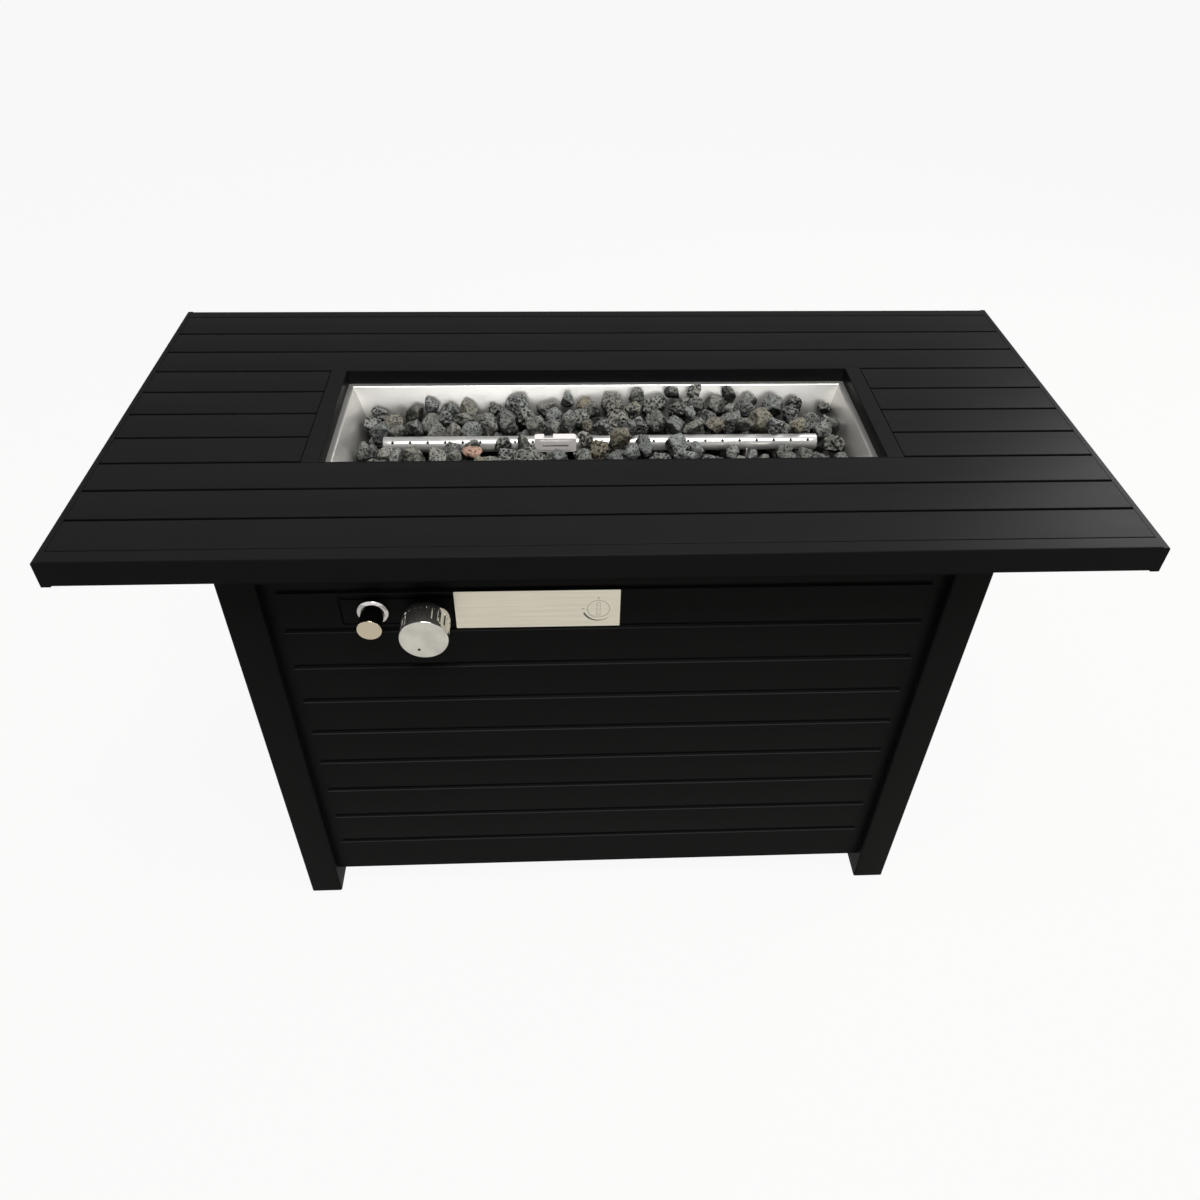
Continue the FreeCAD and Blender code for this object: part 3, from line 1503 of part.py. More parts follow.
# Lava rocks: round stones are dropped into the pan one by one and roll to the lowest free
# place. Each then becomes a faceted stone inside its ball, with a corner wherever the ball
# rests on a wall, the tube or a neighbour.
class RockHeap:
    def __init__(self):
        self.dice = random.Random(sizes["rockSeed"])
        self.floor = panFloor.value
        self.slope = sizes["panSlope"]
        self.halfX = panHalfX.value
        self.halfY = panHalfY.value
        reach = sizes["tubeRadius"]
        tubeEnd = sizes["tubeLength"] / 2
        hoodSide = (sizes["hoodLength"] - sizes["hoodDrop"]) / 2
        hoodY = -(sizes["hoodReach"] + sizes["hoodRear"]) / 2
        hoodZ = (tubeZ + d.hoodRise - d.hoodDrop / 2).value
        hoodReach = (d.hoodDrop / 2 + d.hoodEmboss + d.rockGap * 4).value
        # Round bars that the stones roll off: the tube, its feet and the hood.
        self.bars = [
            (-tubeEnd, tubeEnd, 0.0, tubeZ.value, reach),
            (sizes["hoodPlace"] - hoodSide, sizes["hoodPlace"] + hoodSide, hoodY, hoodZ, hoodReach),
        ]
        self.stones = []

    # Room between the sloping walls for a ball's middle at this height.
    def room(self, half, radius, z):
        return half + (z - self.floor) * self.slope - radius * math.hypot(1, self.slope)

    # Balls near this place that a falling ball can meet.
    def obstacles(self, x):
        for stone in self.stones:
            if abs(stone[0] - x) < stone[3] + sizes["rockLargest"]:
                yield stone
        for left, right, y, z, radius in self.bars:
            yield max(left, min(right, x)), y, z, radius

    # Lowest height of a ball of this radius over a point.
    def restHeight(self, x, y, radius):
        z = self.floor + radius
        for half, place in ((self.halfX, abs(x)), (self.halfY, abs(y))):
            need = place - self.room(half, radius, z)
            if need > 0:
                z += need / self.slope
        for stone in self.obstacles(x):
            reach = stone[3] + radius
            flat = (x - stone[0]) ** 2 + (y - stone[1]) ** 2
            if flat < reach ** 2:
                z = max(z, stone[2] + math.sqrt(reach ** 2 - flat))
        return z

    # Height that the heap may reach: higher at the back, with a swell there, lower in front of
    # the tube's right half, and falling away at both ends.
    def limit(self, x, y):
        share = (y + self.halfY) / (2 * self.halfY)
        height = sizes["heapFront"] + (sizes["heapBack"] - sizes["heapFront"]) * share
        swell = (x - sizes["heapSwellPlace"]) / sizes["heapSwellSpread"]
        height += sizes["heapSwell"] * share * math.exp(-swell * swell)
        if y < 0 and x > sizes["heapHollowStart"]:
            height -= sizes["heapHollow"]
        fromEnd = (self.halfX - abs(x)) / sizes["heapFall"]
        fromEnd = max(0.0, min(1.0, fromEnd))
        height = sizes["heapEnd"] + (height - sizes["heapEnd"]) * fromEnd
        return self.floor + height

    def settle(self, x, y, radius):
        z = self.restHeight(x, y, radius)
        step = radius / 2
        while step > 0.05:
            choices = []
            for turn in range(8):
                angle = turn * math.pi / 4
                besideX = x + step * math.cos(angle)
                besideY = y + step * math.sin(angle)
                choices.append((self.restHeight(besideX, besideY, radius), besideX, besideY))
            best = min(choices)
            if best[0] < z - 0.001:
                z, x, y = best
            else:
                step /= 2
        return x, y, z

    def drop(self, radius, tries):
        found = None
        for attempt in range(tries):
            x = self.dice.uniform(-self.halfX, self.halfX)
            y = self.dice.uniform(-self.halfY, self.halfY) * 1.1
            spare = self.limit(x, y) - self.restHeight(x, y, radius) - radius
            if spare > 0 and (found is None or spare > found[0]):
                found = (spare, x, y)
        if found is None:
            return False
        x, y, z = self.settle(found[1], found[2], radius)
        if z + radius > self.limit(x, y):
            return False
        self.stones.append((x, y, z, radius))
        return True

    def fill(self):
        missed = 0
        low = sizes["rockSmallest"]
        while len(self.stones) < sizes["rockCount"] and missed < sizes["rockCount"]:
            high = sizes["rockLargest"] if missed < sizes["rockBigMisses"] else sizes["rockUsual"]
            usual = min(sizes["rockUsual"], (low + high) / 2)
            if self.drop(self.dice.triangular(low, high, usual), sizes["rockTries"]):
                missed = 0
            else:
                missed += 1

    # Directions in which a stone nearly touches something.
    def contacts(self, number):
        x, y, z, radius = self.stones[number]
        here = Vector(x, y, z)
        found = []
        touch = sizes["rockContact"]
        if z - radius - self.floor < touch:
            found.append(Vector(0, 0, -1))
        tilt = math.hypot(1, self.slope)
        for half, amount, way in ((self.halfX, x, (1, 0)), (self.halfY, y, (0, 1))):
            if self.room(half, radius, z) - abs(amount) < touch:
                side = math.copysign(1, amount)
                found.append(Vector(way[0] * side, way[1] * side, -self.slope) / tilt)
        others = [stone for index, stone in enumerate(self.stones) if index != number]
        for left, right, barY, barZ, reach in self.bars:
            others.append((max(left, min(right, x)), barY, barZ, reach))
        for other in others:
            way = Vector(*other[:3]) - here
            if way.Length - radius - other[3] < touch:
                found.append(way.normalize())
        return found

    def stone(self, number):
        x, y, z, radius = self.stones[number]
        reach = radius - sizes["rockGap"] / 2
        points = [way * reach for way in self.contacts(number)]
        corners = sizes["rockCorners"]
        twist = sizes["rockTwist"]
        turn = self.dice.uniform(0, 2 * math.pi)
        for index in range(corners):
            up = 1 - (2 * index + 1) / corners
            angle = turn + index * math.pi * (3 - math.sqrt(5)) + self.dice.uniform(-twist, twist)
            side = math.sqrt(1 - up * up)
            way = Vector(side * math.cos(angle), side * math.sin(angle), up)
            spacing = reach * sizes["rockSpacing"]
            if all((way * reach - point).Length > spacing for point in points):
                points.append(way * (reach * self.dice.uniform(sizes["rockFlattest"], 1.0)))
        return convexSolid([point + Vector(x, y, z) for point in points])


# Solid of the flat triangles that have every other point behind them.
def convexSolid(points):
    count = len(points)
    faces = []
    for a in range(count):
        for b in range(a + 1, count):
            for c in range(b + 1, count):
                normal = (points[b] - points[a]).cross(points[c] - points[a])
                if normal.Length < 0.001:
                    continue
                sides = [normal.dot(point - points[a]) for index, point in enumerate(points)
                         if index not in (a, b, c)]
                if max(sides) < 0:
                    faces.append((a, b, c))
                elif min(sides) > 0:
                    faces.append((a, c, b))
    plates = []
    for corners in faces:
        ring = [points[index] for index in corners]
        plates.append(Part.Face(Part.makePolygon(ring + ring[:1])))
    solid = Part.Solid(Part.Shell(plates))
    if solid.Volume < 0:
        solid.reverse()
    return solid


heap = RockHeap()
heap.fill()
shapePart("lava_rocks", Part.makeCompound([heap.stone(index) for index in range(len(heap.stones))]))
print("lava rocks:", len(heap.stones))


# Every object must have built, and every cut must have taken something away.
doc.recompute()
for item in doc.Objects:
    if "Invalid" in item.State or "Error" in item.State:
        raise ValueError("%s did not build" % item.Label)
    if item.TypeId in ("PartDesign::Pocket", "PartDesign::SubtractiveWedge"):
        if item.BaseFeature.Shape.Volume - item.Shape.Volume < 0.01:
            raise ValueError("%s in %s cuts nothing" % (item.Name, item.getParent().Label))
for item in subparts:
    if item.Shape.isNull() or not item.Shape.isValid():
        raise ValueError("%s has no valid shape" % item.Label)

os.makedirs("parts", exist_ok=True)
for item in subparts:
    item.Shape.exportStep("parts/%s.step" % item.Label)
print("sub-parts:", len(subparts))
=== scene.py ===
import json
import math
import random

import bmesh
import bpy
from mathutils import Matrix, Vector
from mathutils.bvhtree import BVHTree


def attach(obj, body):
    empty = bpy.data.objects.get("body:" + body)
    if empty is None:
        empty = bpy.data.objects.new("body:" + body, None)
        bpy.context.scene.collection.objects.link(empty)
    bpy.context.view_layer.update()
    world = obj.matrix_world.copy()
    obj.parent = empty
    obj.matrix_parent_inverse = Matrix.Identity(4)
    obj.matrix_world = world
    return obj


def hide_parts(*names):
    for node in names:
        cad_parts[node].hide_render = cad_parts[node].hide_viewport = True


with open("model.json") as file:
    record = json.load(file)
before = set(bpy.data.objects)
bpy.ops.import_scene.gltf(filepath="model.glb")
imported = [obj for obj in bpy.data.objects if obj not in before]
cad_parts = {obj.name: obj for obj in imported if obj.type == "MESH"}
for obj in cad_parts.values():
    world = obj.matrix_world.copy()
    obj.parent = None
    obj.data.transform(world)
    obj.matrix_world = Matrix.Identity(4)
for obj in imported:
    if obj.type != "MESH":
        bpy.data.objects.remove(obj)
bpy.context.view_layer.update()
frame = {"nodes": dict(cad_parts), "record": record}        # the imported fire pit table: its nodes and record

nodes = frame["nodes"]
bpy.ops.object.select_all(action="DESELECT")
print("frame loaded:", len(nodes), "nodes")


# Camera, at the height and angle that the picture was taken from

cameraLook = {
    "eye": (-0.0540211, -0.9619334, 1.1897458),
    "turn": -3.35052,       # degrees, to the right of straight ahead
    "dip": 41.43630,        # degrees below the horizon
    "roll": -1.34011,
    "lens": 28.968,         # millimetres, on a frame as wide as the sensor
    "sensor": 36,
    "near": 0.02,           # metres, nothing nearer is drawn
}


def placeCamera():
    turn, dip, roll = (math.radians(cameraLook[name]) for name in ("turn", "dip", "roll"))
    ahead = Vector((
        -math.sin(turn) * math.cos(dip), math.cos(turn) * math.cos(dip), -math.sin(dip)))
    level = Vector((math.cos(turn), math.sin(turn), 0))
    under = ahead.cross(level)
    right = level * math.cos(roll) + under * math.sin(roll)
    down = under * math.cos(roll) - level * math.sin(roll)
    bpy.ops.object.camera_add()
    camera = bpy.context.object
    axes = Matrix((right, -down, -ahead)).transposed().to_4x4()
    camera.matrix_world = Matrix.Translation(Vector(cameraLook["eye"])) @ axes
    camera.data.sensor_width = cameraLook["sensor"]
    camera.data.lens = cameraLook["lens"]
    camera.data.clip_start = cameraLook["near"]
    bpy.context.scene.camera = camera


placeCamera()
print("camera placed")


# Materials are written as sums: a Wire is one value in a material

class Wire:
    def __init__(self, finish, socket):
        self.finish = finish
        self.socket = socket

    def __add__(self, other):
        return self.finish.maths("ADD", self, other)

    def __sub__(self, other):
        return self.finish.maths("SUBTRACT", self, other)

    def __rsub__(self, other):
        return self.finish.maths("SUBTRACT", other, self)

    def __mul__(self, other):
        return self.finish.maths("MULTIPLY", self, other)

    def __lt__(self, other):
        return self.finish.maths("LESS_THAN", self, other)

    def __gt__(self, other):     # also what a number < wire comes to
        return self.finish.maths("GREATER_THAN", self, other)

    def __abs__(self):
        return self.finish.maths("ABSOLUTE", self)

    __radd__ = __add__
    __rmul__ = __mul__


class Finish:
    def __init__(self, name, world=None):
        self.material = world or bpy.data.materials.new(name)
        self.material.use_nodes = True
        self.tree = self.material.node_tree
        self.tree.nodes.clear()
        self.output = "OutputWorld" if world else "OutputMaterial"
        self.spot = self.add("TexCoord", out="Object")

    def add(self, kind, settings=None, values=None, out=0):
        node = self.tree.nodes.new("ShaderNode" + kind)
        for name, value in (settings or {}).items():
            setattr(node, name, value)
        for name, value in (values or {}).items():
            if isinstance(value, Wire):
                self.tree.links.new(value.socket, node.inputs[name])
            else:
                node.inputs[name].default_value = value
        return Wire(self, node.outputs[out]) if node.outputs else None

    def maths(self, operation, first, second=0):
        return self.add("Math", {"operation": operation}, {0: first, 1: second})

    def distance(self, *parts):
        offset = self.add("CombineXYZ", None, dict(enumerate(parts)))
        return self.add("VectorMath", {"operation": "LENGTH"}, {0: offset}, "Value")

    def stretched(self, x, y, z):
        return self.add("Mapping", None, {"Vector": self.spot, "Scale": (x, y, z)})

    def noise(self, scale, detail=2.0, roughness=0.5, spot=None):
        return self.add("TexNoise", None, {
            "Vector": spot or self.spot, "Scale": scale, "Detail": detail,
            "Roughness": roughness})

    def cells(self, scale):
        return self.add("TexVoronoi", None, {"Vector": self.spot, "Scale": scale}, "Distance")

    def spread(self, value, low, high, start=0.0, end=1.0):
        return self.add("MapRange", None, {
            "Value": value, "From Min": low, "From Max": high, "To Min": start, "To Max": end})

    def blend(self, factor, first, second):
        return self.add("Mix", {"data_type": "RGBA"}, {0: factor, 6: first, 7: second}, 2)

    def worn(self, factor, shade, darkest, brightest):
        return self.blend(factor, tinted(shade, darkest), tinted(shade, brightest))

    def tone(self, shade, factor):
        return self.add("VectorMath", {"operation": "SCALE"}, {0: shade, "Scale": factor})

    def multiplied(self, shade, factors):
        return self.add("VectorMath", {"operation": "MULTIPLY"}, {0: shade, 1: factors})

    def facing(self):
        return self.parts(self.add("NewGeometry", out="Normal"))

    def parts(self, vector):
        node = self.add("SeparateXYZ", None, {0: vector}).socket.node
        return [Wire(self, node.outputs[axis]) for axis in range(3)]

    def bump(self, height, depth, strength=1.0):
        return self.add("Bump", None, {"Height": height, "Distance": depth, "Strength": strength})

    def surface(self, **values):
        named = {name.replace("_", " "): value for name, value in values.items()}
        return self.shown(self.add("BsdfPrincipled", None, named))

    def shown(self, shader):
        self.add(self.output, None, {"Surface": shader})
        return self.material


def colour(red, green, blue):
    return (red, green, blue, 1)


def tinted(shade, factor):
    return colour(*(part * factor for part in shade))


# Satin powder coat: orange peel, a little dust, and patches of slightly different sheen, with
# painted light on what faces up and painted shade on what faces down and in the panel's grooves

coatLooks = {
    # the paler coat on what faces up is painted light, full between the two upward turns after
    # it; the last number is how dark the painted shade on what faces down is
    "table_top_coat": {"shade": (0.0072, 0.0072, 0.0074), "sheen": 0.40, "gloss": 0.040,
                       "dust": 0.048, "paintedTopLight": 0.0058, "rise": (0.80, 0.995), "under": 1.0},
    "base_coat": {"shade": (0.0070, 0.0070, 0.0072), "sheen": 0.40, "gloss": 0.035,
                  "dust": 0.024, "paintedTopLight": 0.010, "rise": (0.30, 0.70), "under": 1.0},
    "panel_coat": {"shade": (0.0074, 0.0074, 0.0076), "sheen": 0.40, "gloss": 0.035,
                   "dust": 0.024, "paintedTopLight": 0.032, "rise": (0.30, 0.70), "under": 0.20},
}
coatGrain = {
    "patches": 5,                  # this and the next five: waves to a metre
    "wipes": (6, 40, 40),
    "peel": 700,
    "grit": 2600,
    "specks": 420,
    "dustPatches": 9,
    "dustTint": (1, 0.99, 0.96),
    "peelDepth": 0.00006,
    "paintedUnderShade": (-0.35, -0.10),    # between these upward turns a face gets less and less painted shade as an underside
}
panelLook = {
    "faces": (0.38270, 0.20165),   # from the middle of the table, along x and y
    "groove": (0.0007, 0.0011),    # from this far in to that, a pressed groove goes dark with painted shade
}


def powderCoat(name, look):
    finish = Finish(name)
    patches = finish.noise(coatGrain["patches"], 3, 0.55)
    wipes = finish.noise(1, 3, 0.6, finish.stretched(*coatGrain["wipes"]))
    peel = finish.noise(coatGrain["peel"], 2, 0.5)
    grit = finish.noise(coatGrain["grit"], 1, 0.5)
    specks = finish.spread(finish.noise(coatGrain["specks"], 2, 0.6), 0.70, 0.80)
    dusty = finish.spread(finish.noise(coatGrain["dustPatches"], 4, 0.6), 0.42, 0.75)
    # what faces up is painted paler, a painted light that leaves the rounded edges darker as
    # painted shade
    upward = finish.facing()[2]
    paintedTopLit = colour(*(part + look["paintedTopLight"] for part in look["shade"]))
    shade = finish.blend(finish.spread(upward, *look["rise"]), colour(*look["shade"]), paintedTopLit)
    # painted shade on what faces down
    paintedShadeFactor = finish.spread(upward, *coatGrain["paintedUnderShade"], look["under"], 1)
    if name == "panel_coat":
        # the bottom of each pressed groove gets painted shade, and only its lip keeps the painted
        # light
        x, y = finish.parts(finish.spot)[:2]
        wide, deep = panelLook["faces"]
        inward = finish.maths("MINIMUM", wide - abs(x), deep - abs(y))
        paintedShadeFactor = paintedShadeFactor * finish.spread(inward, *panelLook["groove"], 1, look["under"])
    shade = finish.tone(shade, ((patches + wipes) * 0.18 + 0.82) * paintedShadeFactor)
    dust = tinted(coatGrain["dustTint"], look["dust"])
    dusted = finish.blend(specks * dusty * 0.5, shade, dust)
    sheen = look["sheen"] + (patches - 0.5) * 0.16 + (wipes - 0.5) * 0.08 + (grit - 0.5) * 0.12
    normal = finish.bump(peel * 0.7 + grit * 0.3, coatGrain["peelDepth"], 0.6)
    return finish.surface(
        Base_Color=dusted, Roughness=sheen, Specular_IOR_Level=look["gloss"], Normal=normal)


# Control knob: bright plated, fluted all round, with a shallow dished face and a dot

knobLook = {
    "axis": (-0.1905, 0.5075),
    "face": -0.24795,
    "length": 0.030,
    "radius": 0.0253,
    "rim": 0.0015,
    "rimSteps": 5,
    "rimFlat": 0.0008,
    "dish": 0.0016,
    "dishRings": 8,
    "flutes": 24,
    "columns": 8,                # to each flute and the ridge next to it
    "fluteColumns": 5,           # of these, the flute's own
    "fluteFront": 0.007,
    "fluteBack": 0.0235,
    "fluteDepth": 0.0009,
    "fluteSteps": ((0.0008, 0.75), (0.0006, 0.25)),     # width, and share of the depth
    "wall": 0.002,
    "hollow": 0.016,
    "hollowTaper": 0.0004,
    "softEdge": 0.00025,
    "dot": 0.0016,
    "dotSides": 32,
    "dotDepth": 0.0012,
    "dotPlace": (-0.00606, -0.01427),
    "dotGap": 0.00003,
    "dotFill": 0.9,              # thickness of the enamel, as a share of the dot's depth
    "dotEdge": 0.00015,
    "drillAhead": 0.001,
    "rings": 1500,               # turning marks to a metre
    "smears": 42,
}


# Burner tube: its measures come here because the painted shade in it follows them

tubeLook = {
    "radius": 0.009,
    "height": 0.583,
    "half": 0.251,
    "sides": 64,
    "wall": 0.001,
    "endWall": 0.003,
    "endSteps": ((0.0012, 0), (0.0003, -0.0009)),     # width and depth of what is pressed in
    "softEdge": 0.0004,
    "boreSides": 48,
    "ports": 25,
    "pitch": 0.020,
    "lean": 45,                  # degrees, each row of ports to its side
    "portRadius": 0.00125,
    "portSides": 20,
    "drill": 0.004,
    "brackets": (-0.170, 0.170),
    "panFloor": 0.553,
    "legTop": 0.5785,
    "sheet": 0.002,
    "footLength": 0.012,
    "bracketWidth": 0.017,
    "feedRadius": 0.008,
    "feedBore": 0.007,
    "feedSides": 40,
    "feedEnd": 0.537,
    "feedDeep": 0.8,             # of the stub's length
}


# Painted shade in the burner: each function gives how much painted shade a place gets

paintedShadeLook = {
    # the colour of the painted shade
    "shade": (0.030, 0.028, 0.026),
    "grain": 60,
    "ragged": 0.006,
    "floor": (-0.002, 0.001, 0.9),       # heights over the pan's floor, and share at the first
    "walls": (0, 0.034, 0.80),
    "ports": (0.0013, 0.0024, 0.85),     # distances from a port's middle
    "insideWall": 0.4,                   # of the tube's wall, where its inside begins
    "insideEnd": 0.002,
    "slot": 0.97,
    "slotMiddle": (-0.05375, 0.59165),   # of the pilot hood's slot, along x and z
    "slotHalf": (0.0148, 0.0009),
}


def panPaintedShade(finish):
    # painted shade over the pan's floor, and on its walls low down, darker towards the bottom
    ragged = finish.noise(paintedShadeLook["grain"], 3, 0.6) * paintedShadeLook["ragged"]
    height = finish.parts(finish.spot)[2] - ragged
    base = tubeLook["panFloor"]
    shares = [finish.spread(height, base + low, base + high, most, 0)
              for low, high, most in (paintedShadeLook["floor"], paintedShadeLook["walls"])]
    return finish.maths("MAXIMUM", *shares)


def slotPaintedShade(finish):
    # painted shade inside the slot of the pilot hood
    x, z = finish.parts(finish.spot)[::2]
    across, up = paintedShadeLook["slotMiddle"]
    width, height = paintedShadeLook["slotHalf"]
    return (abs(x - across) < width) * (abs(z - up) < height) * paintedShadeLook["slot"]


def portPaintedShade(finish):
    # painted shade inside the tube, and round each port
    x, y, z = finish.parts(finish.spot)
    up = z - tubeLook["height"]
    turn = tubeLook["radius"] * math.sqrt(0.5)
    near = finish.maths("PINGPONG", x + tubeLook["pitch"] * tubeLook["ports"], tubeLook["pitch"])
    side = finish.maths("MINIMUM", near, tubeLook["pitch"] - near)
    off = finish.distance(side, abs(y) - turn, up - turn)
    close, far, most = paintedShadeLook["ports"]
    # painted shade in a ring round each port, widening its dark dot
    paintedPortRing = finish.spread(off, close, far, most, 0)
    bore = tubeLook["radius"] - tubeLook["wall"] * paintedShadeLook["insideWall"]
    inside = (finish.distance(y, up) < bore) * (abs(x) < tubeLook["half"] - paintedShadeLook["insideEnd"])
    return finish.maths("MAXIMUM", paintedPortRing, inside)


# Brushed and plated metals: fine scratches along the brushing, and handling marks

metalLooks = {
    "burner_steel": {"shade": (0.88, 0.86, 0.82), "sheen": 0.34, "scratch": 0.08,
                     "depth": 0.000006, "metal": 0.88, "paintedShade": panPaintedShade},
    "tube_steel": {"shade": (0.90, 0.88, 0.85), "sheen": 0.33, "scratch": 0.08,
                   "depth": 0.00001, "metal": 0.70, "paintedShade": portPaintedShade},
    "hood_steel": {"shade": (0.95, 0.91, 0.88), "sheen": 0.50, "scratch": 0.08,
                   "depth": 0.00001, "metal": 0.12, "paintedShade": slotPaintedShade},
    "label_steel": {"shade": (0.78, 0.74, 0.63), "sheen": 0.36, "scratch": 0.10,
                    "depth": 0.00001},
    "hinges": {"shade": (0.46, 0.46, 0.46), "sheen": 0.38, "scratch": 0.16, "depth": 0.00002},
    "screws": {"shade": (0.10, 0.10, 0.105), "sheen": 0.36, "scratch": 0.12, "depth": 0.00002},
    "knob_chrome": {"shade": (0.74, 0.72, 0.67), "sheen": 0.09, "scratch": 0.05,
                    "depth": 0.000003, "metal": 0.88},
    "chrome_trim": {"shade": (0.68, 0.65, 0.63), "sheen": 0.08, "scratch": 0.04,
                    "depth": 0.000003},
    "cap_chrome": {"shade": (0.68, 0.61, 0.47), "sheen": 0.09, "scratch": 0.04,
                   "depth": 0.000003},
    "brass_fittings": {"shade": (0.66, 0.48, 0.20), "sheen": 0.26, "scratch": 0.14,
                       "depth": 0.00002},
    "battery_can": {"shade": (0.60, 0.60, 0.62), "sheen": 0.30, "scratch": 0.08,
                    "depth": 0.00001},
    "pipe_aluminium": {"shade": (0.72, 0.72, 0.73), "sheen": 0.34, "scratch": 0.12,
                       "depth": 0.00002},
    "valve_casting": {"shade": (0.52, 0.52, 0.53), "sheen": 0.48, "scratch": 0.14,
                      "depth": 0.00006},
}
brushing = {"along": 9, "across": 2600, "clouds": 16, "marks": 45}     # waves to a metre


def brushedMetal(name, look):
    finish = Finish(name)
    slow, fast = brushing["along"], brushing["across"]
    along = finish.noise(1, 3, 0.65, finish.stretched(slow, fast, fast))
    across = finish.noise(1, 3, 0.65, finish.stretched(fast, slow, fast))
    turn = finish.spread(abs(finish.facing()[0]), 0.4, 0.6)
    streaks = finish.add("Mix", None, {0: turn, 2: along, 3: across})
    clouds = finish.noise(brushing["clouds"], 3, 0.6)
    marks = finish.spread(finish.noise(brushing["marks"], 4, 0.7), 0.52, 0.72)
    shade = finish.worn(streaks * 0.6 + clouds * 0.4, look["shade"], 0.86, 1.08)
    # painted shade where the metal's own function gives it
    if "paintedShade" in look:
        shade = finish.blend(look["paintedShade"](finish), shade, colour(*paintedShadeLook["shade"]))
    scratched = (streaks - 0.5) * look["scratch"]
    sheen = look["sheen"] + scratched + marks * 0.06 + (clouds - 0.5) * 0.08
    normal = finish.bump(streaks, look["depth"], 0.8)
    return finish.surface(
        Base_Color=shade, Metallic=look.get("metal", 1.0), Roughness=sheen, Normal=normal)


def turnedMetal(name, look):
    # fine rings round the knob's axis, and smears of handling
    finish = Finish(name)
    x, z = finish.parts(finish.spot)[::2]
    away = finish.distance(x - knobLook["axis"][0], z - knobLook["axis"][1])
    outward = finish.add("CombineXYZ", None, {0: away * knobLook["rings"]})
    rings = finish.noise(1, 2, 0.5, outward)
    smears = finish.spread(finish.noise(knobLook["smears"], 2, 0.5), 0.35, 0.65)
    shade = finish.worn(rings * 0.3 + smears * 0.7, look["shade"], 0.78, 1.08)
    sheen = look["sheen"] + (rings - 0.5) * look["scratch"] + smears * 0.04
    normal = finish.bump(rings, look["depth"], 0.6)
    return finish.surface(
        Base_Color=shade, Metallic=look["metal"], Roughness=sheen, Normal=normal)


# Moulded plastics, rubber and the white ceramic of the electrode

mouldedLooks = {
    "glides": {"shade": (0.018, 0.018, 0.018), "sheen": 0.62, "grain": 900, "depth": 0.00006},
    "black_plastic": {"shade": (0.022, 0.022, 0.022), "sheen": 0.50, "grain": 1300,
                      "depth": 0.00004},
    "gloss_black": {"shade": (0.008, 0.008, 0.009), "sheen": 0.16, "grain": 500,
                    "depth": 0.00001},
    "lead_insulation": {"shade": (0.030, 0.030, 0.032), "sheen": 0.45, "grain": 1500,
                        "depth": 0.00002},
    "ceramic": {"shade": (0.78, 0.75, 0.68), "sheen": 0.30, "grain": 1200, "depth": 0.00002},
}


def moulded(name, look):
    finish = Finish(name)
    grain = finish.noise(look["grain"], 2, 0.5)
    rubbed = finish.noise(60, 3, 0.6)
    shade = finish.worn(rubbed, look["shade"], 0.8, 1.25)
    sheen = look["sheen"] + (rubbed - 0.5) * 0.18 + (grain - 0.5) * 0.08
    normal = finish.bump(grain, look["depth"], 0.8)
    return finish.surface(Base_Color=shade, Roughness=sheen, Normal=normal)


# Lava stone: dark grey to brown, pitted, with painted shade in the pits; paler on top, partly
# from dust and partly as painted light, and darker underneath as painted shade

lavaLook = {
    "dark": (0.034, 0.036, 0.035),
    "pale": (0.290, 0.295, 0.280),
    "cool": (0.98, 1.0, 1.0),
    "warm": (1.035, 1.0, 0.93),
    "rust": (0.25, 0.21, 0.14),
    "pink": (0.52, 0.32, 0.24),
    # painted shade in the pits
    "hole": (0.012, 0.012, 0.012),
    "mottle": 190,               # this and the next three: waves or cells to a metre
    "grain": 1000,
    "pits": 330,                 # on the denser stones
    "bigPits": 250,              # and on the coarse ones
    "pitEdge": (0.20, 0.36),
    "bigPitEdge": (0.34, 0.46),
    "dust": (-0.2, 0.9, -0.30, 0.42),     # from and to which upward turn, and how much paler: dust and painted light on top, painted shade underneath
    "relief": 0.0018,
}


def lavaStone(name):
    look = lavaLook
    finish = Finish(name)
    mark = finish.add("Attribute", {"attribute_name": "stoneMark"}, out="Color")
    coarse = finish.add("Attribute", {"attribute_name": "stoneMark"}, out="Alpha")
    shade, rusty, pinkish = finish.parts(mark)
    mottle = finish.noise(look["mottle"], 4, 0.7)
    grain = finish.noise(look["grain"], 3, 0.65)
    pits = finish.spread(finish.cells(look["pits"]), *look["pitEdge"])
    bigPits = finish.spread(finish.cells(look["bigPits"]), *look["bigPitEdge"])
    solid = pits * (1 - coarse) + bigPits * coarse
    upward = finish.facing()[2]
    tone = shade * 0.5 + coarse * 0.14 + (mottle - 0.5) * 1.5 + (grain - 0.5) * 0.7
    # paler on top, partly dust and partly painted light, and darker underneath as painted shade
    tone = tone + finish.spread(upward, *look["dust"])
    grey = finish.blend(finish.spread(tone, 0, 1), colour(*look["dark"]), colour(*look["pale"]))
    grey = finish.blend(
        finish.spread(rusty, 0.2, 0.8), finish.multiplied(grey, look["cool"]),
        finish.multiplied(grey, look["warm"]))
    brown = finish.blend(
        finish.spread(rusty, 0.9, 1) * finish.spread(mottle, 0.35, 0.6), grey,
        colour(*look["rust"]))
    pink = finish.blend(finish.spread(pinkish, 0.9, 1) * 0.9, brown, colour(*look["pink"]))
    # painted shade in the pits
    pitted = finish.blend((1 - solid) * 0.85, pink, colour(*look["hole"]))
    normal = finish.bump(solid * 0.8 + grain * 0.45 + mottle * 0.7, look["relief"])
    return finish.surface(
        Base_Color=pitted, Roughness=0.88 + (grain - 0.5) * 0.2, Specular_IOR_Level=0.2,
        Normal=normal)


# Blank label plate with only a plain dial drawing: a ring, its pointer, an arc, two strokes

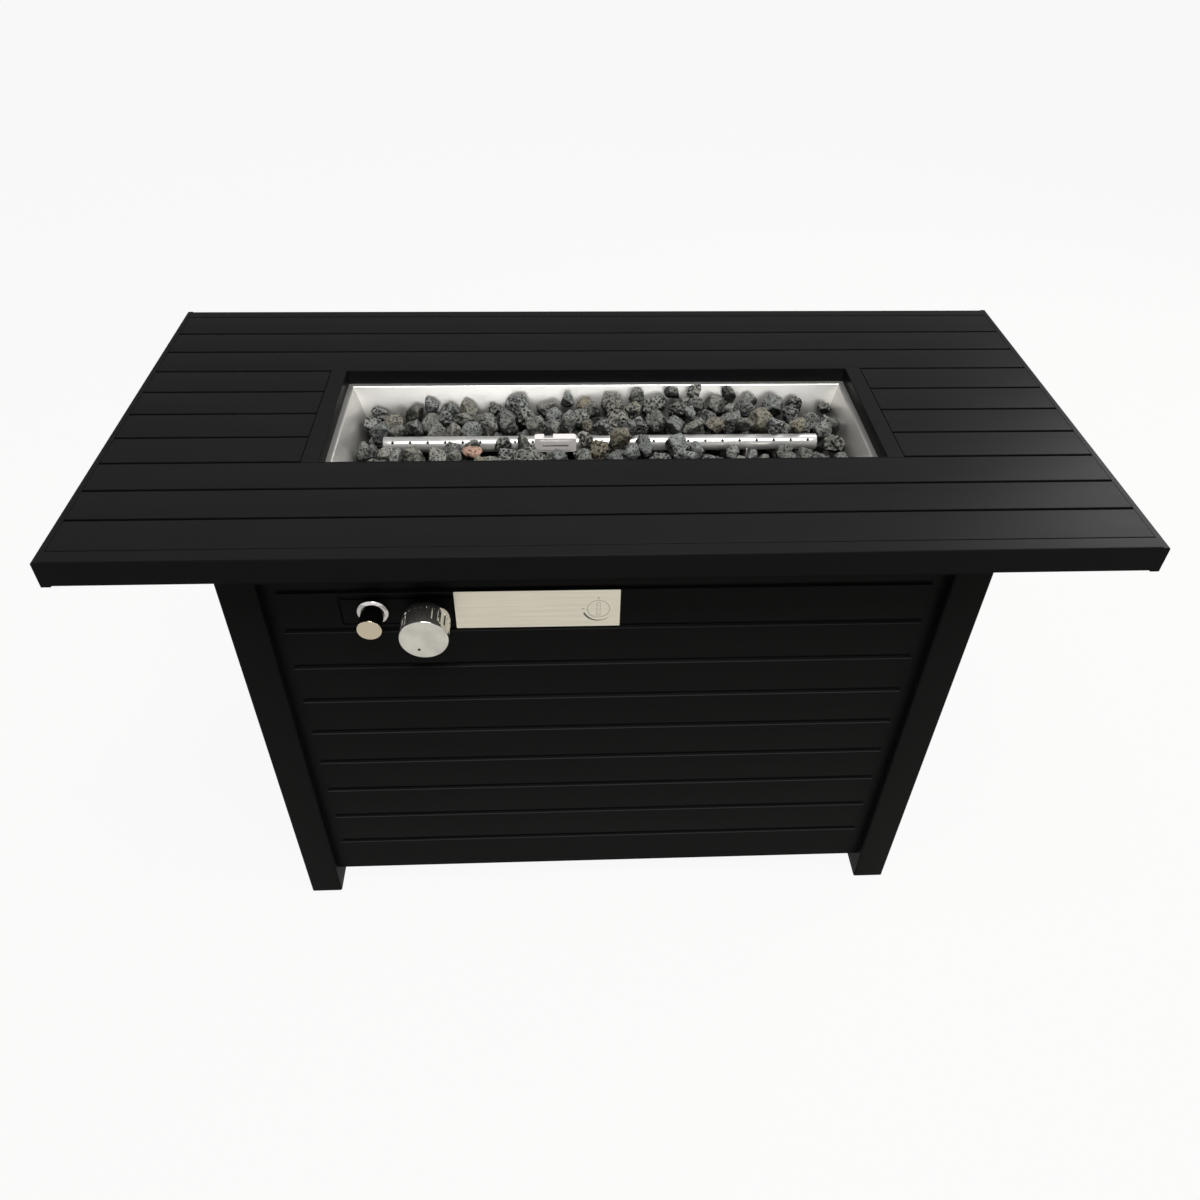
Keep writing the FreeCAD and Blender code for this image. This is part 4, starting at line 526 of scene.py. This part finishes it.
dialLook = {
    "centre": (-0.0109, 0.5057),
    "ring": 0.0118,
    "line": 0.00040,
    "pointer": (0.0017, 0.0088),                     # half its width and half its length
    "pointerLine": 0.8,                              # of the ring's line
    "arc": 0.0162,
    "arcTaper": (-0.010, 0.012, 0.0010, 0.0001),     # from and to where, and its line there
    "arcTop": -0.005,
    "arcEnd": 0.012,
    "strokes": ((0, 0.0152, 0.0006, 0.0014),         # middle, half width, half height
                (-0.0163, 0.0010, 0.0014, 0.0005)),
    "ink": (0.20, 0.185, 0.155),
    "arcInk": (0.035, 0.035, 0.03),
    "brushing": (9, 420, 420),
    "clouds": 20,
}


def labelSteel(name, look):
    dial = dialLook
    finish = Finish(name)
    along = finish.noise(1, 4, 0.7, finish.stretched(*dial["brushing"]))
    clouds = finish.noise(dial["clouds"], 3, 0.6)
    x, z = finish.parts(finish.spot)[::2]
    sideways, upwards = x - dial["centre"][0], z - dial["centre"][1]
    away = finish.distance(sideways, upwards)
    ring = abs(away - dial["ring"]) < dial["line"]
    width, length = dial["pointer"]
    line = dial["line"] * dial["pointerLine"]
    pointer = (abs(abs(sideways) - width) < line) * (abs(upwards) < length)
    ends = (abs(abs(upwards) - length) < line) * (abs(sideways) < width)
    arc = (abs(away - dial["arc"]) < finish.spread(sideways, *dial["arcTaper"])) * (
        upwards < dial["arcTop"]) * (sideways < dial["arcEnd"])
    strokes = sum((abs(sideways - across) < wide) * (abs(upwards - up) < high)
                  for across, up, wide, high in dial["strokes"])
    shade = finish.worn(along * 0.75 + clouds * 0.25, look["shade"], 0.72, 1.32)
    thin = finish.maths("MAXIMUM", ring, pointer + ends)
    drawn = finish.blend(thin * 0.65 + strokes * 0.8, shade, colour(*dial["ink"]))
    inked = finish.blend(arc * 0.9, drawn, colour(*dial["arcInk"]))
    sheen = look["sheen"] + (along - 0.5) * look["scratch"] + (clouds - 0.5) * 0.1
    normal = finish.bump(along, look["depth"], 0.8)
    return finish.surface(Base_Color=inked, Metallic=1.0, Roughness=sheen, Normal=normal)


finishes = {}
for slotName, slotLook in coatLooks.items():
    finishes[slotName] = powderCoat(slotName, slotLook)
for slotName, slotLook in metalLooks.items():
    make = {"label_steel": labelSteel, "knob_chrome": turnedMetal}.get(slotName, brushedMetal)
    finishes[slotName] = make(slotName, slotLook)
for slotName, slotLook in mouldedLooks.items():
    finishes[slotName] = moulded(slotName, slotLook)
finishes["lava_stone"] = lavaStone("lava_stone")
print("materials made:", len(finishes))


# CAD nodes keep their shape and take their finish; curved faces are shaded smooth

slotOf = {part["node"]: part["material_slot"] for part in frame["record"]["subparts"]}
ownFinish = {"pilot_hood": "hood_steel"}     # instead of the finish of its slot
creaseAngle = 28                             # degrees, edges sharper than this stay sharp
weldGap = 0.000002                           # metres


def dressNodes():
    for name, node in nodes.items():
        node.data.materials.clear()
        node.data.materials.append(finishes[ownFinish.get(name, slotOf[name])])
        node.data.polygons.foreach_set("use_smooth", [True] * len(node.data.polygons))
        weld = node.modifiers.new("weld", "WELD")
        weld.merge_threshold = weldGap
        split = node.modifiers.new("creases", "EDGE_SPLIT")
        split.split_angle = math.radians(creaseAngle)


dressNodes()
print("nodes dressed")


# Helpers for the modelled pieces

closeBy = 0.0001       # metres, a corner this near to an edge or a face is on it
seamGap = 0.000001     # metres, for the seam and the poles of a spun piece
alongX, alongY, alongZ = (0, math.pi / 2, 0), (math.pi / 2, 0, 0), (0, 0, 0)


def only(piece):
    bpy.ops.object.select_all(action="DESELECT")
    piece.select_set(True)
    bpy.context.view_layer.objects.active = piece


def settle(piece):
    only(piece)
    bpy.ops.object.transform_apply(location=True, rotation=True, scale=True)


def joined(pieces):
    only(pieces[0])
    for piece in pieces[1:]:
        piece.select_set(True)
    if len(pieces) > 1:
        bpy.ops.object.join()
    return bpy.context.object


def editing(piece):
    only(piece)
    bpy.ops.object.mode_set(mode="EDIT")
    bpy.ops.mesh.select_mode(type="FACE")
    bpy.ops.mesh.select_all(action="DESELECT")


def pick(piece, kind, wanted):
    # selects the faces or edges that the test is true of
    mesh = bmesh.from_edit_mesh(piece.data)
    bpy.ops.mesh.select_mode(type=kind)
    bpy.ops.mesh.select_all(action="DESELECT")
    for part in mesh.faces if kind == "FACE" else mesh.edges:
        part.select_set(bool(wanted(part)))
    bmesh.update_edit_mesh(piece.data)


def leave():
    bpy.ops.object.mode_set(mode="OBJECT")


def applied(piece, kind, **settings):
    only(piece)
    modifier = piece.modifiers.new(kind.lower(), kind)
    for name, value in settings.items():
        setattr(modifier, name, value)
    bpy.ops.object.modifier_apply(modifier=modifier.name)


def softened(piece, width, angle):
    # rounds the edges that are sharper than the angle
    applied(piece, "BEVEL", width=width, segments=2, limit_method="ANGLE",
            angle_limit=math.radians(angle))


def cutBy(piece, tool):
    applied(piece, "BOOLEAN", operation="DIFFERENCE", object=tool, solver="EXACT")
    bpy.data.objects.remove(tool)


def rod(radius, length, middle, turn, sides):
    bpy.ops.mesh.primitive_cylinder_add(
        vertices=sides, radius=radius, depth=length, location=middle, rotation=turn)
    piece = bpy.context.object
    settle(piece)
    return piece


def finished(piece, name, body, slotName, replaced=None, smooth=30, finishName=None):
    only(piece)
    piece.name = name
    piece.data.name = name
    bpy.ops.object.shade_smooth_by_angle(angle=math.radians(smooth))
    piece.data.materials.clear()
    piece.data.materials.append(finishes[finishName or slotName])
    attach(piece, body)
    if replaced:
        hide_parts(replaced)
    return piece


def turned(outline, axis, sides):
    # a line of (radius, distance back) points spun round the Y axis, then put on its own axis
    bpy.ops.mesh.primitive_plane_add(size=1)
    piece = bpy.context.object
    mesh = bmesh.new()
    corners = [mesh.verts.new((radius, back, 0)) for radius, back in outline]
    for first, second in zip(corners, corners[1:]):
        mesh.edges.new((first, second))
    mesh.to_mesh(piece.data)
    mesh.free()
    only(piece)
    bpy.ops.object.mode_set(mode="EDIT")
    bpy.ops.mesh.select_all(action="SELECT")
    bpy.ops.mesh.spin(steps=sides, angle=math.tau, center=(0, 0, 0), axis=(0, 1, 0))
    bpy.ops.mesh.select_all(action="SELECT")
    bpy.ops.mesh.remove_doubles(threshold=seamGap)
    bpy.ops.mesh.normals_make_consistent(inside=False)
    leave()
    piece.location = (axis[0], 0, axis[1])
    settle(piece)
    return piece


# The knob is turned from a cylinder: flutes, a dished face, a rounded rim, a hollow back

def controlKnob():
    look = knobLook
    x, z = look["axis"]
    front = look["face"]
    columns = look["flutes"] * look["columns"]
    middle = (x, front + look["length"] / 2, z)
    knob = rod(look["radius"], look["length"], middle, alongY, columns)
    editing(knob)
    start, end = front + look["fluteFront"], front + look["fluteBack"]
    for back in (start, end):
        bpy.ops.mesh.select_all(action="SELECT")
        bpy.ops.mesh.bisect(plane_co=(0, back, 0), plane_no=(0, 1, 0))

    def inFlute(face):
        middle = face.calc_center_median()
        if not start < middle.y < end or abs(face.normal.y) > 0.5:
            return False
        turn = math.degrees(math.atan2(middle.z - z, middle.x - x)) % 360
        return int(turn / 360 * columns) % look["columns"] < look["fluteColumns"]

    def onRim(edge):
        return all(abs(corner.co.y - front) < closeBy and
                   math.hypot(corner.co.x - x, corner.co.z - z) > look["radius"] - closeBy
                   for corner in edge.verts)

    def roundEnd(way):     # the one face at that end with more corners than a flute's
        return lambda face: face.normal.y * way > 0.99 and len(face.verts) > 8

    pick(knob, "FACE", inFlute)
    for width, share in look["fluteSteps"]:
        bpy.ops.mesh.inset(thickness=width, depth=-look["fluteDepth"] * share)
    # dished face inside the rim
    pick(knob, "FACE", roundEnd(-1))
    bpy.ops.mesh.inset(thickness=look["rim"] + look["rimFlat"], depth=0)
    rings = look["dishRings"]
    step = (look["radius"] - look["rim"] - look["rimFlat"]) / (rings + 0.5)
    for ring in range(rings):
        sink = look["dish"] * (rings - ring) / rings * 2 / rings
        bpy.ops.mesh.inset(thickness=step, depth=-sink)
    # rounded rim
    pick(knob, "EDGE", onRim)
    bpy.ops.mesh.bevel(offset=look["rim"], segments=look["rimSteps"], profile=0.5)
    # hollow back
    pick(knob, "FACE", roundEnd(1))
    bpy.ops.mesh.inset(thickness=look["wall"], depth=0)
    bpy.ops.mesh.inset(thickness=look["hollowTaper"], depth=-look["hollow"])
    leave()
    softened(knob, look["softEdge"], 38)

    # small round dot: a hole in the face, filled with black enamel
    def peg(radius, start, depth):
        across, up = look["dotPlace"]
        middle = (x + across, front + start + depth / 2, z + up)
        return rod(radius, depth, middle, alongY, look["dotSides"])

    ahead = look["drillAhead"]
    cutBy(knob, peg(look["dot"], -ahead, ahead + look["dotDepth"] * 2))
    finished(knob, "control_knob_chrome", "knob", "chrome_trim", "control_knob", 32,
             "knob_chrome")
    depth = look["dotDepth"]
    enamel = peg(look["dot"] - look["dotGap"], depth, depth * look["dotFill"])
    softened(enamel, look["dotEdge"], 40)
    finished(enamel, "control_knob_dot", "knob", "gloss_black")


# Push igniter: bright bezel, gloss black barrel and a bright cap, a little hollow in front

igniterLook = {
    "axis": (-0.2474, 0.5075),
    "sides": 72,
    "edge": 0.0003,              # bevel at the hidden ends
    "capFront": -0.23265,
    "capLength": 0.004,
    "capRadius": 0.013,
    "capRim": 0.0012,
    "capSteps": 6,
    "capFace": (                 # distance from the axis, and distance back
        (0, 0.0005), (0.00455, 0.00045), (0.00806, 0.0003), (0.0106, 0.00012),
        (0.0112, 0.00002)),
    "barrelRadius": 0.0122,
    "barrelEdge": 0.0004,
    "barrelEnd": -0.18965,
    "barrelWall": 0.003,
    "barrelBore": 0.018,
    "bezelFront": -0.20725,
    "bezelRadius": 0.0165,
    "bezelLength": 0.006,
    "bezelThread": 0.0135,
    "bezelSlope": 27,            # degrees
    "bezelRim": 0.0010,
    "bezelSteps": 8,
    "bezelLip": ((0, 0.0004), (0.0002, 0), (0.0004, 0.00005)),     # from the bore, and back
    "bezelEnd": -0.17925,
    "bore": 0.0123,
}


def arcPoints(centre, radius, start, end, steps):
    points = []
    for step in range(steps + 1):
        angle = math.radians(start + (end - start) * step / steps)
        points.append((centre[0] + radius * math.cos(angle),
                       centre[1] + radius * math.sin(angle)))
    return points


def igniterCap():
    look = igniterLook
    front, radius, rim, edge = look["capFront"], look["capRadius"], look["capRim"], look["edge"]
    back = front + look["capLength"]
    outline = [(away, front + sunk) for away, sunk in look["capFace"]]
    outline += arcPoints((radius - rim, front + rim), rim, -90, 0, look["capSteps"])
    outline += [(radius, back - edge), (radius - edge, back), (0, back)]
    cap = turned(outline, look["axis"], look["sides"])
    finished(cap, "igniter_cap_chrome", "igniter_push", "chrome_trim", "igniter_cap", 35,
             "cap_chrome")


def igniterBarrel():
    look = igniterLook
    front, radius = look["capFront"] + look["capLength"], look["barrelRadius"]
    back, bore = look["barrelEnd"], radius - look["barrelWall"]
    edge, soft = look["edge"], look["barrelEdge"]
    outline = [(0, front), (radius - soft, front), (radius, front + soft), (radius, back - edge),
               (radius - edge, back), (bore, back), (bore, back - look["barrelBore"]),
               (0, back - look["barrelBore"])]
    barrel = turned(outline, look["axis"], look["sides"])
    finished(barrel, "igniter_barrel_black", "igniter_push", "gloss_black", "igniter_button", 35)


def igniterBezel():
    look = igniterLook
    front, radius, bore = look["bezelFront"], look["bezelRadius"], look["bore"]
    back, seat, edge = look["bezelEnd"], front + look["bezelLength"], look["edge"]
    rim, thread, slope = look["bezelRim"], look["bezelThread"], look["bezelSlope"]
    drop = (radius - bore - rim) * math.tan(math.radians(slope))
    outline = [(bore, back)] + [(bore + away, front + sunk) for away, sunk in look["bezelLip"]]
    outline += arcPoints((radius - rim, front + drop + rim), rim, slope - 90, 0,
                         look["bezelSteps"])
    outline += [(radius, seat - edge), (radius - edge, seat), (thread, seat), (thread, back),
                (bore, back)]
    bezel = turned(outline, look["axis"], look["sides"])
    finished(bezel, "igniter_bezel_chrome", "table", "chrome_trim", "igniter_bezel", 35)


controlKnob()
print("control knob modelled")
igniterCap()
igniterBarrel()
igniterBezel()
print("igniter modelled")


# Lava rocks: each stone starts from its CAD solid, gets a worn, lumpy skin and open pits

rockLook = {
    "skin": 0.0011,        # metres between points on the stones that show
    "hiddenSkin": 0.0026,
    "apart": 0.004,        # stones of one batch keep this far from each other
    "rounding": 0.5,
    "grown": 1.17,
    "breaks": (5, 9),
    "breakDepth": (0.52, 0.82),
    "swell": (0.88, 1.24),         # each stone's own stretch, along x, y and z
    "wallRoom": (0.262, 0.058),    # past these its middle is too near to a wall for that
    "coarseShare": 0.24,
    "finePits": (0.2, 1),          # how pitted the other stones are
    "clearShare": 0.35,    # of four ways from each corner, for a stone that shows
    "clearStart": 0.0006,
    "ways": ((0, 0, 1), (0.5, 0.3, 0.8), (-0.5, 0.3, 0.8)),     # besides the way to the camera
    "batchMost": 24,
    "heaps": 6,
    "hoodFront": (-0.0775, -0.0300, -0.018, 0.585),   # left, right, front, and how low it shows
    "seed": 11,
}
# what roughens a stone that shows: name, kind, size, ramp, depth, middle, and which stones
rockReliefs = [
    ("lumps", "CLOUDS", 0.012, None, 0.0026, 0.47, ""),
    ("rough", "CLOUDS", 0.004, None, 0.0020, 0.5, ""),
    ("pits", "VORONOI", 0.0034, (0.18, 0.42), 0.0010, 1.0, "fine"),
    ("coarsePits", "VORONOI", 0.0046, (0.22, 0.48), 0.0020, 1.0, "coarse"),
]
# stones with a look of their own: x, y in metres, mark (tone, rust, pink), coarse, stretch
oddStones = [
    (-0.158, -0.044, (0.9, 0.2, 1.0), 0.0, (1.25, 1.0, 0.65)),
    (-0.112, 0.062, (0.9, 0.1, 0.0), 1.0, (1.2, 1.2, 1.2)),
    (-0.215, -0.065, (0.5, 0.1, 0.0), 1.0, (1.15, 1.1, 1.1)),
    (-0.005, 0.078, (0.6, 1.0, 0.0), 0.0, (1.0, 1.0, 1.0)),
]


def chipped(corners, faces, chance):
    # the solid is grown a little, then flat breaks are struck off it all round
    middle = sum(corners, Vector()) / len(corners)
    mesh = bmesh.new()
    made = [mesh.verts.new(middle + (corner - middle) * rockLook["grown"]) for corner in corners]
    for face in faces:
        mesh.faces.new([made[corner] for corner in face])
    for strike in range(chance.randint(*rockLook["breaks"])):
        way = Vector(chance.gauss(0, 1) for axis in range(3)).normalized()
        reach = max((corner.co - middle).dot(way) for corner in mesh.verts)
        place = middle + way * reach * chance.uniform(*rockLook["breakDepth"])
        parts = mesh.verts[:] + mesh.edges[:] + mesh.faces[:]
        bmesh.ops.bisect_plane(mesh, geom=parts, plane_co=place, plane_no=way, clear_outer=True)
        rim = [edge for edge in mesh.edges if edge.is_boundary]
        bmesh.ops.holes_fill(mesh, edges=rim)
    bmesh.ops.triangulate(mesh, faces=mesh.faces[:])
    mesh.verts.index_update()
    corners = [corner.co.copy() for corner in mesh.verts]
    faces = [[corner.index for corner in face.verts] for face in mesh.faces]
    mesh.free()
    return corners, faces


class Stone:
    def __init__(self, corners, faces, chance):
        self.corners, self.faces = chipped(corners, faces, chance)
        self.measure()
        self.mark = (chance.random(), chance.random(), 0.0)
        self.coarse = 1.0 if chance.random() < rockLook["coarseShare"] else 0.0
        self.fine = 0.0 if self.coarse else chance.uniform(*rockLook["finePits"])
        self.shows = False
        swell = [chance.uniform(*rockLook["swell"]) for axis in range(3)]
        if all(abs(self.middle[axis]) < rockLook["wallRoom"][axis] for axis in range(2)):
            self.stretch(swell)

    def measure(self):
        self.middle = sum(self.corners, Vector()) / len(self.corners)
        self.low = Vector(min(corner[axis] for corner in self.corners) for axis in range(3))
        self.high = Vector(max(corner[axis] for corner in self.corners) for axis in range(3))

    def stretch(self, factors):
        for corner in self.corners:
            for axis, factor in enumerate(factors):
                corner[axis] = self.middle[axis] + (corner[axis] - self.middle[axis]) * factor
        self.measure()

    def lower(self, drop):
        for corner in self.corners:
            corner.z -= drop
        self.measure()

    def clearOf(self, other):
        gap = rockLook["apart"]
        return any(self.low[axis] > other.high[axis] + gap
                   or other.low[axis] > self.high[axis] + gap for axis in range(3))


def splitStones():
    mesh = bmesh.new()
    mesh.from_mesh(nodes["lava_rocks"].data)
    bmesh.ops.remove_doubles(mesh, verts=mesh.verts, dist=weldGap)
    mesh.verts.ensure_lookup_table()
    chance = random.Random(rockLook["seed"])
    left = set(mesh.verts)
    stones = []
    for start in mesh.verts:
        if start not in left:
            continue
        left.discard(start)
        island, edge = [start], [start]
        while edge:
            for link in edge.pop().link_edges:
                for corner in link.verts:
                    if corner in left:
                        left.discard(corner)
                        island.append(corner)
                        edge.append(corner)
        number = {corner: index for index, corner in enumerate(island)}
        found = {face for corner in island for face in corner.link_faces}
        faces = [[number[corner] for corner in face.verts]
                 for face in sorted(found, key=lambda face: face.index)]
        stones.append(Stone([corner.co.copy() for corner in island], faces, chance))
    mesh.free()
    return stones


def stonesMesh(stones):
    corners, faces, owners = [], [], []
    for index, stone in enumerate(stones):
        first = len(corners)
        corners += stone.corners
        faces += [[corner + first for corner in face] for face in stone.faces]
        owners += [index] * len(stone.faces)
    return corners, faces, owners


def markShowing(stones):
    # a stone shows if its corners can be seen from the camera, from above or from the sides
    tree = BVHTree.FromPolygons(*stonesMesh(stones)[:2])
    eye = Vector(cameraLook["eye"])
    fixed = [Vector(way) for way in rockLook["ways"]]
    for stone in stones:
        clear = 0
        for corner in stone.corners:
            start = corner + (corner - stone.middle).normalized() * rockLook["clearStart"]
            ways = [(eye - start).normalized()] + fixed
            clear += sum(tree.ray_cast(start, way)[0] is None for way in ways)
        stone.shows = clear > len(stone.corners) * rockLook["clearShare"]


def batched(stones):
    most = rockLook["batchMost"]
    batches = []
    for stone in stones:
        for batch in batches:
            if len(batch) < most and all(stone.clearOf(other) for other in batch):
                batch.append(stone)
                break
        else:
            batches.append([stone])
    return batches


def rockTexture(name, kind, size, ramp):
    texture = bpy.data.textures.new(name, kind)
    texture.noise_scale = size
    if kind == "CLOUDS":
        texture.noise_depth = 3
    if ramp:
        texture.use_color_ramp = True
        first, last = texture.color_ramp.elements
        first.position, first.color = ramp[0], (0, 0, 0, 1)
        last.position, last.color = ramp[1], (1, 1, 1, 1)
    return texture


rockTextures = [rockTexture(*relief[:4]) for relief in rockReliefs]


def wornBatch(batch, shows):
    look = rockLook
    corners, faces, owners = stonesMesh(batch)
    data = bpy.data.meshes.new("batch")
    data.from_pydata(corners, [], faces)
    piece = bpy.data.objects.new("batch", data)
    bpy.context.scene.collection.objects.link(piece)
    tree = BVHTree.FromPolygons(corners, faces)
    applied(piece, "REMESH", mode="VOXEL", voxel_size=look["skin" if shows else "hiddenSkin"])
    applied(piece, "SMOOTH", factor=look["rounding"], iterations=1)
    groups = [piece.vertex_groups.new(name=name) for name in ("fine", "coarse")]
    mine = [owners[tree.find_nearest(corner.co)[2]] for corner in piece.data.vertices]
    held = [[] for stone in batch]
    for index, owner in enumerate(mine):
        held[owner].append(index)
    for stone, members in zip(batch, held):
        groups[0].add(members, stone.fine, "REPLACE")
        groups[1].add(members, stone.coarse, "REPLACE")
    tint = piece.data.attributes.new("stoneMark", "FLOAT_COLOR", "POINT")
    tint.data.foreach_set(
        "color", [part for owner in mine for part in (*batch[owner].mark, batch[owner].coarse)])
    if shows:
        for texture, relief in zip(rockTextures, rockReliefs):
            depth, middle, group = relief[-3:]
            applied(piece, "DISPLACE", texture=texture, strength=depth, mid_level=middle,
                    vertex_group=group)
    piece.vertex_groups.clear()
    return piece


def freeHood(stones):
    # stones in front of the pilot hood lie low enough to leave its slotted face in sight
    left, right, front, low = rockLook["hoodFront"]
    eye = Vector(cameraLook["eye"])
    for stone in stones:
        if stone.high.x < left or stone.low.x > right or stone.low.y > front:
            continue
        sight = low + (front - stone.middle.y) * (eye.z - low) / (front - eye.y)
        stone.lower(max(0, stone.high.z - sight))


def lavaRocks():
    stones = splitStones()
    freeHood(stones)
    markShowing(stones)
    for x, y, mark, coarse, factors in oddStones:
        near = [stone for stone in stones if stone.shows]
        best = min(near, key=lambda stone: math.hypot(stone.middle.x - x, stone.middle.y - y)
                   - stone.middle.z)
        best.mark, best.coarse, best.fine = mark, coarse, 0.5 * (1 - coarse)
        best.stretch(factors)
    shown = [stone for stone in stones if stone.shows]
    hidden = [stone for stone in stones if not stone.shows]
    print("stones:", len(shown), "show,", len(hidden), "hidden")
    pieces = [wornBatch(batch, True) for batch in batched(shown)]
    pieces += [wornBatch(batch, False) for batch in batched(hidden)]
    # the batches are shared out over heaps of about the same size
    heaps = [[] for heap in range(rockLook["heaps"])]
    for piece in sorted(pieces, key=lambda piece: -len(piece.data.polygons)):
        smallest = min(heaps, key=lambda heap: sum(len(one.data.polygons) for one in heap))
        smallest.append(piece)
    for number, members in enumerate(filter(None, heaps), 1):
        finished(joined(members), "lava_rocks_" + str(number), "table", "lava_stone",
                 "lava_rocks", 180)


lavaRocks()
print("lava rocks modelled")


# Burner tube: one smooth drawn tube with two rows of ports, on two brackets over a feed stub

def tubeBracket(x):
    # an L of bent sheet: a foot on the pan's floor and a leg up to the tube
    look = tubeLook
    low = look["panFloor"]
    bpy.ops.mesh.primitive_plane_add(size=1)
    bracket = bpy.context.object
    edge = x - look["sheet"] / 2
    bracket.location = (edge + look["footLength"] / 2, 0, low)
    bracket.scale = (look["footLength"], look["bracketWidth"], 1)
    settle(bracket)
    editing(bracket)
    pick(bracket, "EDGE", lambda side: all(corner.co.x < edge + closeBy for corner in side.verts))
    bpy.ops.mesh.extrude_edges_move(
        TRANSFORM_OT_translate={"value": (0, 0, look["legTop"] - low)})
    bpy.ops.mesh.select_all(action="SELECT")
    bpy.ops.mesh.normals_make_consistent(inside=False)
    leave()
    faceUp = bracket.data.polygons[0].normal.z > 0
    applied(bracket, "SOLIDIFY", thickness=look["sheet"], offset=1 if faceUp else -1)
    softened(bracket, look["softEdge"], 40)
    return bracket


def feedStub():
    look = tubeLook
    length = look["height"] - look["feedEnd"]
    middle = (0, 0, look["feedEnd"] + length / 2)
    stub = rod(look["feedRadius"], length, middle, alongZ, look["feedSides"])
    editing(stub)
    pick(stub, "FACE", lambda face: face.normal.z < -0.9)
    bpy.ops.mesh.inset(thickness=look["feedRadius"] - look["feedBore"], depth=0)
    bpy.ops.mesh.extrude_region_move(
        TRANSFORM_OT_translate={"value": (0, 0, length * look["feedDeep"])})
    leave()
    return stub


def portDrills():
    look = tubeLook
    drills = []
    for number in range(look["ports"]):
        for angle in (-math.radians(look["lean"]), math.radians(look["lean"])):
            bpy.ops.mesh.primitive_cylinder_add(
                vertices=look["portSides"], radius=look["portRadius"], depth=look["drill"],
                location=((number - (look["ports"] - 1) / 2) * look["pitch"],
                          math.sin(angle) * look["radius"],
                          look["height"] + math.cos(angle) * look["radius"]),
                rotation=(-angle, 0, 0))
            drills.append(bpy.context.object)
    drill = joined(drills)
    settle(drill)
    return drill


def burnerTube():
    look = tubeLook
    middle, length = (0, 0, look["height"]), look["half"] * 2
    tube = rod(look["radius"], length, middle, alongX, look["sides"])
    editing(tube)
    pick(tube, "FACE", lambda face: abs(face.normal.x) > 0.99)
    for width, depth in look["endSteps"]:
        bpy.ops.mesh.inset(thickness=width, depth=depth)
    leave()
    softened(tube, look["softEdge"], 40)
    cutBy(tube, rod(look["radius"] - look["wall"], length - look["endWall"] * 2, middle, alongX,
                    look["boreSides"]))
    cutBy(tube, portDrills())
    tube = joined([tube] + [tubeBracket(x) for x in look["brackets"]] + [feedStub()])
    finished(tube, "burner_tube_steel", "table", "burner_steel", "burner_tube", 32, "tube_steel")


burnerTube()
print("burner tube modelled")


# Plain pale floor and soft light

stageLook = {
    "floorSize": 16,
    "floorShade": (0.60, 0.575, 0.51),
    "floorPatches": 3,             # waves to a metre
    "floorMottle": (0.97, 1.02),
    "floorGlow": 0.93,
    "floorMirrored": 0.46,
    "sky": (1.0, 0.99, 0.97),
    "skyStrength": 0.14,
    "whiteRise": (0.22, 0.46),     # mirrored white fades out between these heights of the sky
    "behindLower": 0.22,           # lower behind the table, by this share of how far back it is
    "lamps": [                     # name, place, aim, size, power
        ("overheadLamp", (0.10, -0.75, 2.55), (0, 0, 0.6), 1.3, 46),
        ("frontLampLeft", (-0.27, -2.3, 1.2), (0, 0, 0.6), 0.5, 2.2),
        ("frontLampRight", (0.50, -2.3, 1.2), (0, 0, 0.6), 0.4, 1.1),
        ("backLamp", (2.0, 1.3, 1.9), (0.4, -0.2, 0.6), 1.0, 32),
    ],
}


def whiteShare(finish, mirrored):
    # white to the camera, and in what metal and glass mirror
    camera, glossy, through = (
        finish.add("LightPath", out=name)
        for name in ("Is Camera Ray", "Is Glossy Ray", "Is Transmission Ray"))
    return camera + (glossy + through) * mirrored


def placeFloor():
    bpy.ops.mesh.primitive_plane_add(size=stageLook["floorSize"], location=(0, 0, 0))
    floor = bpy.context.object
    settle(floor)
    floor.name = "floor"
    finish = Finish("pale_floor")
    mottle = finish.noise(stageLook["floorPatches"], 4, 0.6)
    shade = finish.worn(mottle, stageLook["floorShade"], *stageLook["floorMottle"])
    plain = finish.add("BsdfDiffuse", None, {"Color": shade})
    glow = finish.add("Emission", None, {"Color": colour(1, 1, 1), "Strength": 1.0})
    share = whiteShare(finish, stageLook["floorMirrored"]) * stageLook["floorGlow"]
    finish.shown(finish.add("MixShader", None, {0: share, 1: plain, 2: glow}))
    finish.material.cycles.emission_sampling = "NONE"
    floor.data.materials.append(finish.material)


def lightTable():
    for name, place, aim, size, power in stageLook["lamps"]:
        bpy.ops.object.light_add(type="AREA", location=place)
        lamp = bpy.context.object
        lamp.name = name
        lamp.rotation_euler = (Vector(aim) - Vector(place)).to_track_quat("-Z", "Y").to_euler()
        lamp.data.shape = "SQUARE"
        lamp.data.size = size
        lamp.data.energy = power
    world = bpy.data.worlds.new("studio")
    bpy.context.scene.world = world
    studio = Finish("studio", world)
    depth, height = studio.parts(studio.spot)[1:]
    behind = studio.maths("MAXIMUM", depth, 0)
    rise = height + behind * stageLook["behindLower"]
    share = whiteShare(studio, studio.spread(rise, *stageLook["whiteRise"], 1, 0))
    sky = studio.add("Background", None, {
        "Color": colour(*stageLook["sky"]), "Strength": stageLook["skyStrength"]})
    white = studio.add("Background", None, {"Color": colour(1, 1, 1), "Strength": 1.0})
    studio.shown(studio.add("MixShader", None, {0: share, 1: sky, 2: white}))


placeFloor()
lightTable()
bpy.context.scene.view_settings.view_transform = "Standard"
print("floor and lights placed")
